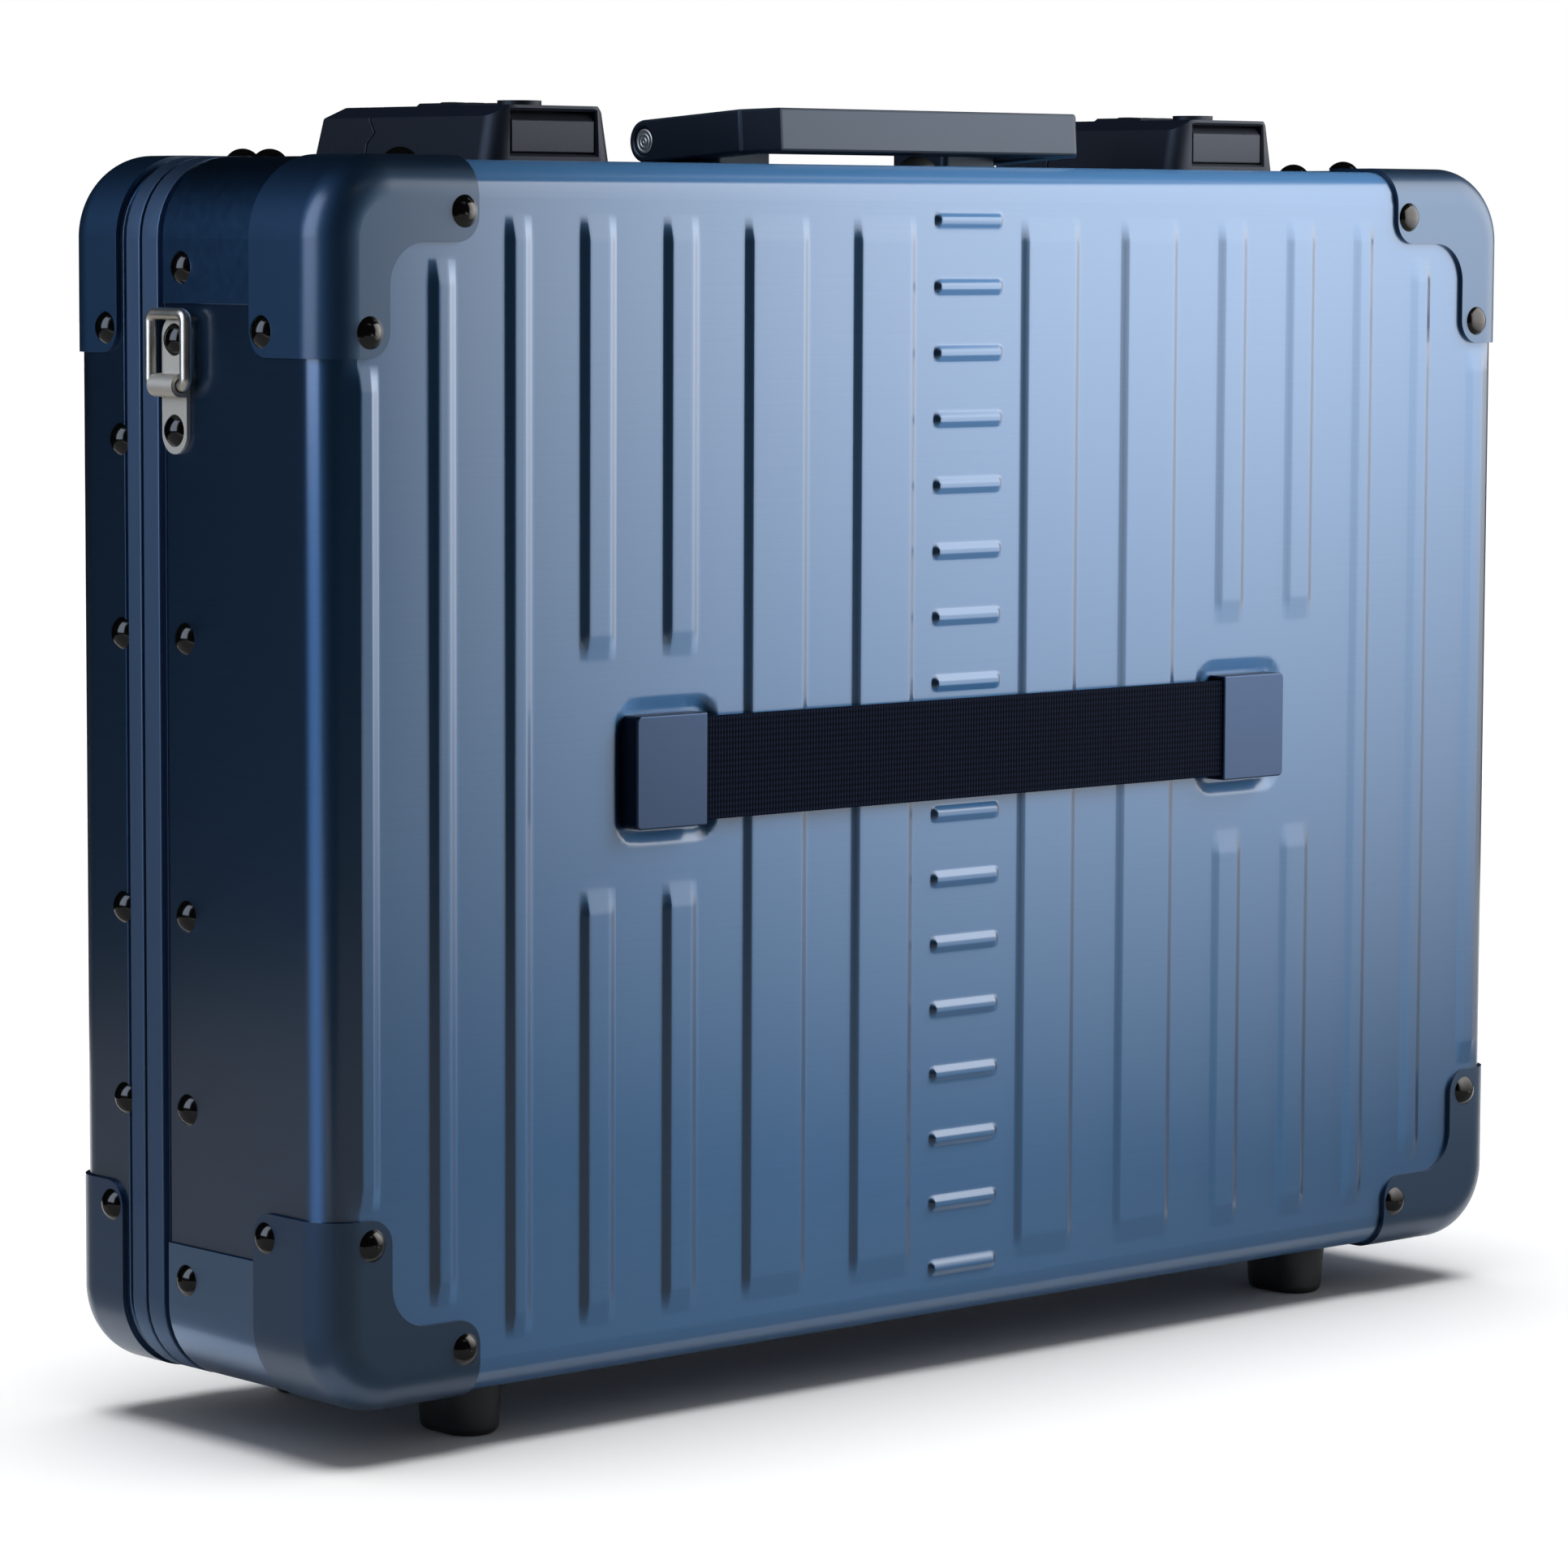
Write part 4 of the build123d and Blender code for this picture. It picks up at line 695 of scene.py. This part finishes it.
for side in ("left", "right"):
    for number in dial_numbers:
        dial_low, dial_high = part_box(f"dial_{side}_{number}")
        axis = (dial_low + dial_high) / 2
        onto_flat = Matrix.Translation((0, 0, dial_high.z - axis.z))
        printed = bmesh.new()
        for step, digit in enumerate(digits):
            placed = digit.copy()
            turn = Matrix.Rotation(radians(360 / len(digits) * step), 4, "X")
            placed.transform(Matrix.Translation(axis) @ turn @ onto_flat)
            printed.from_mesh(placed)
            bpy.data.meshes.remove(placed)
        name = f"dial_numbers_{side}_{number}"
        mesh = bpy.data.meshes.new(name)
        printed.to_mesh(mesh)
        printed.free()
        mesh.materials.append(white_print)
        numbers = place_object(name, mesh)
        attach(numbers, f"dial_{side}_{number}")

# Studio
# The case stands on white paper in a white room, under one broad ceiling light that gives its shadow. Lit cloth,
# a softbox, felt and card are set round it as they are for shiny metal: they show in the gloss alone, and make it
# bright or dark. Sizes are in metres.
paper_size = 30

# Paper, felt and card: plain and dull, without a shine of their own.
paper, felt, grey_card = (
    new_finish(name, Base_Color=colour(code), Roughness=1.0, Specular_IOR_Level=0.0)[0]
    for name, code in (("white_paper", "#fefefe"), ("black_felt", "#0a0a0a"), ("grey_card", "#8c8c8c"))
)


def panel(name, width, height, finish):
    """A flat panel of the studio, facing up."""
    mesh = bpy.data.meshes.new(name)
    corners = [(x * width / 2, y * height / 2, 0) for x, y in ((-1, -1), (1, -1), (1, 1), (-1, 1))]
    mesh.from_pydata(corners, [], [(0, 1, 2, 3)])
    mesh.materials.append(finish)
    board = place_object(name, mesh)
    return board


def gloss_panel(name, width, height, finish):
    """A panel that shows in the gloss alone: not to the camera, in no shadow and on no dull surface."""
    board = panel(name, width, height, finish)
    board.visible_camera = board.visible_diffuse = board.visible_shadow = False
    return board


def stand(thing, azimuth, distance, height):
    """Stands a lamp or panel round the case, facing it. Azimuth 0 is before the ribbed face, 90 to its right."""
    turn = radians(azimuth)
    outwards = Vector((sin(turn), -cos(turn), 0))
    thing.location = outwards * distance + Vector((0, 0, height))
    thing.rotation_mode = "QUATERNION"
    thing.rotation_quaternion = outwards.to_track_quat("Z", "Y")


panel("paper_floor", paper_size, paper_size, paper)

# Black felt hangs behind the case, at its sides, round the camera and before the face
for name, azimuth, distance, width, height in (
    ("left_felt", -175, 0.75, 2.4, 2.4),
    ("side_felt", -105, 1.75, 3.2, 2.6),
    ("camera_felt", -31, 2.1, 5.6, 2.6),
    ("front_felt", 45, 2.0, 2.5, 2.6),
    ("right_felt", 107, 1.3, 1.2, 2.4),
):
    stand(gloss_panel(name, width, height, felt), azimuth, distance, height / 2)

# Grey card lies on the floor before the face and at the left, and felt toward the camera and overhead
for name, finish, middle, width, depth in (
    ("front_mat", grey_card, (0.35, -0.565, 0.002), 1.9, 0.99),
    ("left_mat", grey_card, (-0.93, 0.35, 0.002), 1.36, 1.3),
    ("camera_mat", felt, (-1.0, -1.35, 0.001), 2.0, 1.9),
    ("roof_felt", felt, (-0.6, 0, 2.5), 4.8, 4.0),
):
    gloss_panel(name, width, depth, finish).location = middle

# A cool softbox of even radiance stands at the left and lights the edges of the bends
box_width, box_height, box_radiance = 0.75, 1.3, 4.1
box_lamp = bpy.data.lights.new("edge_softbox", "AREA")
box_lamp.shape = "RECTANGLE"
box_lamp.size, box_lamp.size_y = box_width, box_height
box_lamp.energy = box_radiance * pi * box_width * box_height
box_lamp.color = colour("#dbe9ff")[:3]
edge_softbox = place_object("edge_softbox", box_lamp)
edge_softbox.visible_camera = edge_softbox.visible_diffuse = False
stand(edge_softbox, azimuth=-98.5, distance=1.2, height=0.9)

# Lit cloth stands close by at the right front and gives the ribbed face its shine. It is dark at its foot and
# brightens upwards, and it fades towards both ends.
key_left, key_right, key_height = Vector((0.04, -0.382, 0)), Vector((0.70, 0.027, 0)), 0.62
key_radiance = 4.45
key_run = key_right - key_left
key_width = key_run.length
dark_level, bright_level = -0.005 - key_height / 2, 0.33 - key_height / 2
left_dark, left_bright = -0.69 * key_width, -0.27 * key_width
right_bright, right_end, right_share = -0.1 * key_width, 0.5 * key_width, 0.3
key_cloth = bpy.data.materials.new("lit_cloth")
key_cloth.use_nodes = True
tree = key_cloth.node_tree
place = add_node(tree, "TexCoord", {})
sides = add_node(tree, "SeparateXYZ", {"Vector": place.outputs["Object"]})
rising = add_node(tree, "MapRange", {
    "Value": sides.outputs["Y"], "From Min": dark_level, "From Max": bright_level, "To Max": key_radiance,
})
fading = add_node(tree, "MapRange", {
    "Value": sides.outputs["X"], "From Min": left_dark, "From Max": left_bright,
})
ending = add_node(tree, "MapRange", {
    "Value": sides.outputs["X"], "From Min": right_bright, "From Max": right_end,
    "To Min": 1.0, "To Max": right_share,
})
across = add_node(
    tree, "Math", {0: fading.outputs["Result"], 1: ending.outputs["Result"]}, operation="MULTIPLY"
)
shine = add_node(tree, "Math", {0: rising.outputs["Result"], 1: across.outputs["Value"]}, operation="MULTIPLY")
glow = add_node(tree, "Emission", {"Color": colour("#fffcf8"), "Strength": shine.outputs["Value"]})
tree.links.new(glow.outputs["Emission"], tree.nodes["Material Output"].inputs["Surface"])
key_panel = gloss_panel("key_panel", key_width, key_height, key_cloth)
key_panel.location = (key_left + key_right) / 2 + Vector((0, 0, key_height / 2))
key_panel.rotation_mode = "QUATERNION"
key_panel.rotation_quaternion = key_run.cross(Vector((0, 0, 1))).to_track_quat("Z", "Y")

# The ceiling light gives a white sheet its full white, and doesn't show in the gloss
ceiling = bpy.data.lights.new("ceiling_light", "SUN")
ceiling.energy = pi
ceiling.angle = radians(45)
place_object("ceiling_light", ceiling).visible_glossy = False

# The room is white to the camera, in gloss and through clear pieces, and lights dull surfaces only a little
room_white, room_light = 1.0, 0.2
world = bpy.data.worlds.new("white_room")
bpy.context.scene.world = world
world.use_nodes = True
tree = world.node_tree
rays = add_node(tree, "LightPath", {})
seen = rays.outputs["Is Camera Ray"]
for ray in ("Is Glossy Ray", "Is Transmission Ray"):
    seen = add_node(tree, "Math", {0: seen, 1: rays.outputs[ray]}, operation="ADD").outputs["Value"]
walls = add_node(tree, "MapRange", {"Value": seen, "To Min": room_light, "To Max": room_white})
tree.links.new(walls.outputs["Result"], tree.nodes["Background"].inputs["Strength"])
tree.nodes["Background"].inputs["Color"].default_value = (1, 1, 1, 1)
bpy.context.scene.view_settings.view_transform = "Standard"

# Camera
# A long lens stands to the left of the ribbed face, a little below the top of the case, and looks slightly down.
# Its focal length is in pixels of the photograph, its place in metres and its turns in degrees.
photo_width, focal_pixels, film_width = 1932, 7111, 36
looks_down, leans, turns_right = 5.489, 0.244, 41.629
camera_data = bpy.data.cameras.new("camera")
camera_data.sensor_width = film_width
camera_data.lens = film_width * focal_pixels / photo_width
camera = place_object("camera", camera_data)
camera.location = (-1.1205, -1.2391, 0.3241)
camera.rotation_mode = "XYZ"
camera.rotation_euler = (radians(90 - looks_down), radians(-leans), radians(-turns_right))
bpy.context.scene.camera = camera
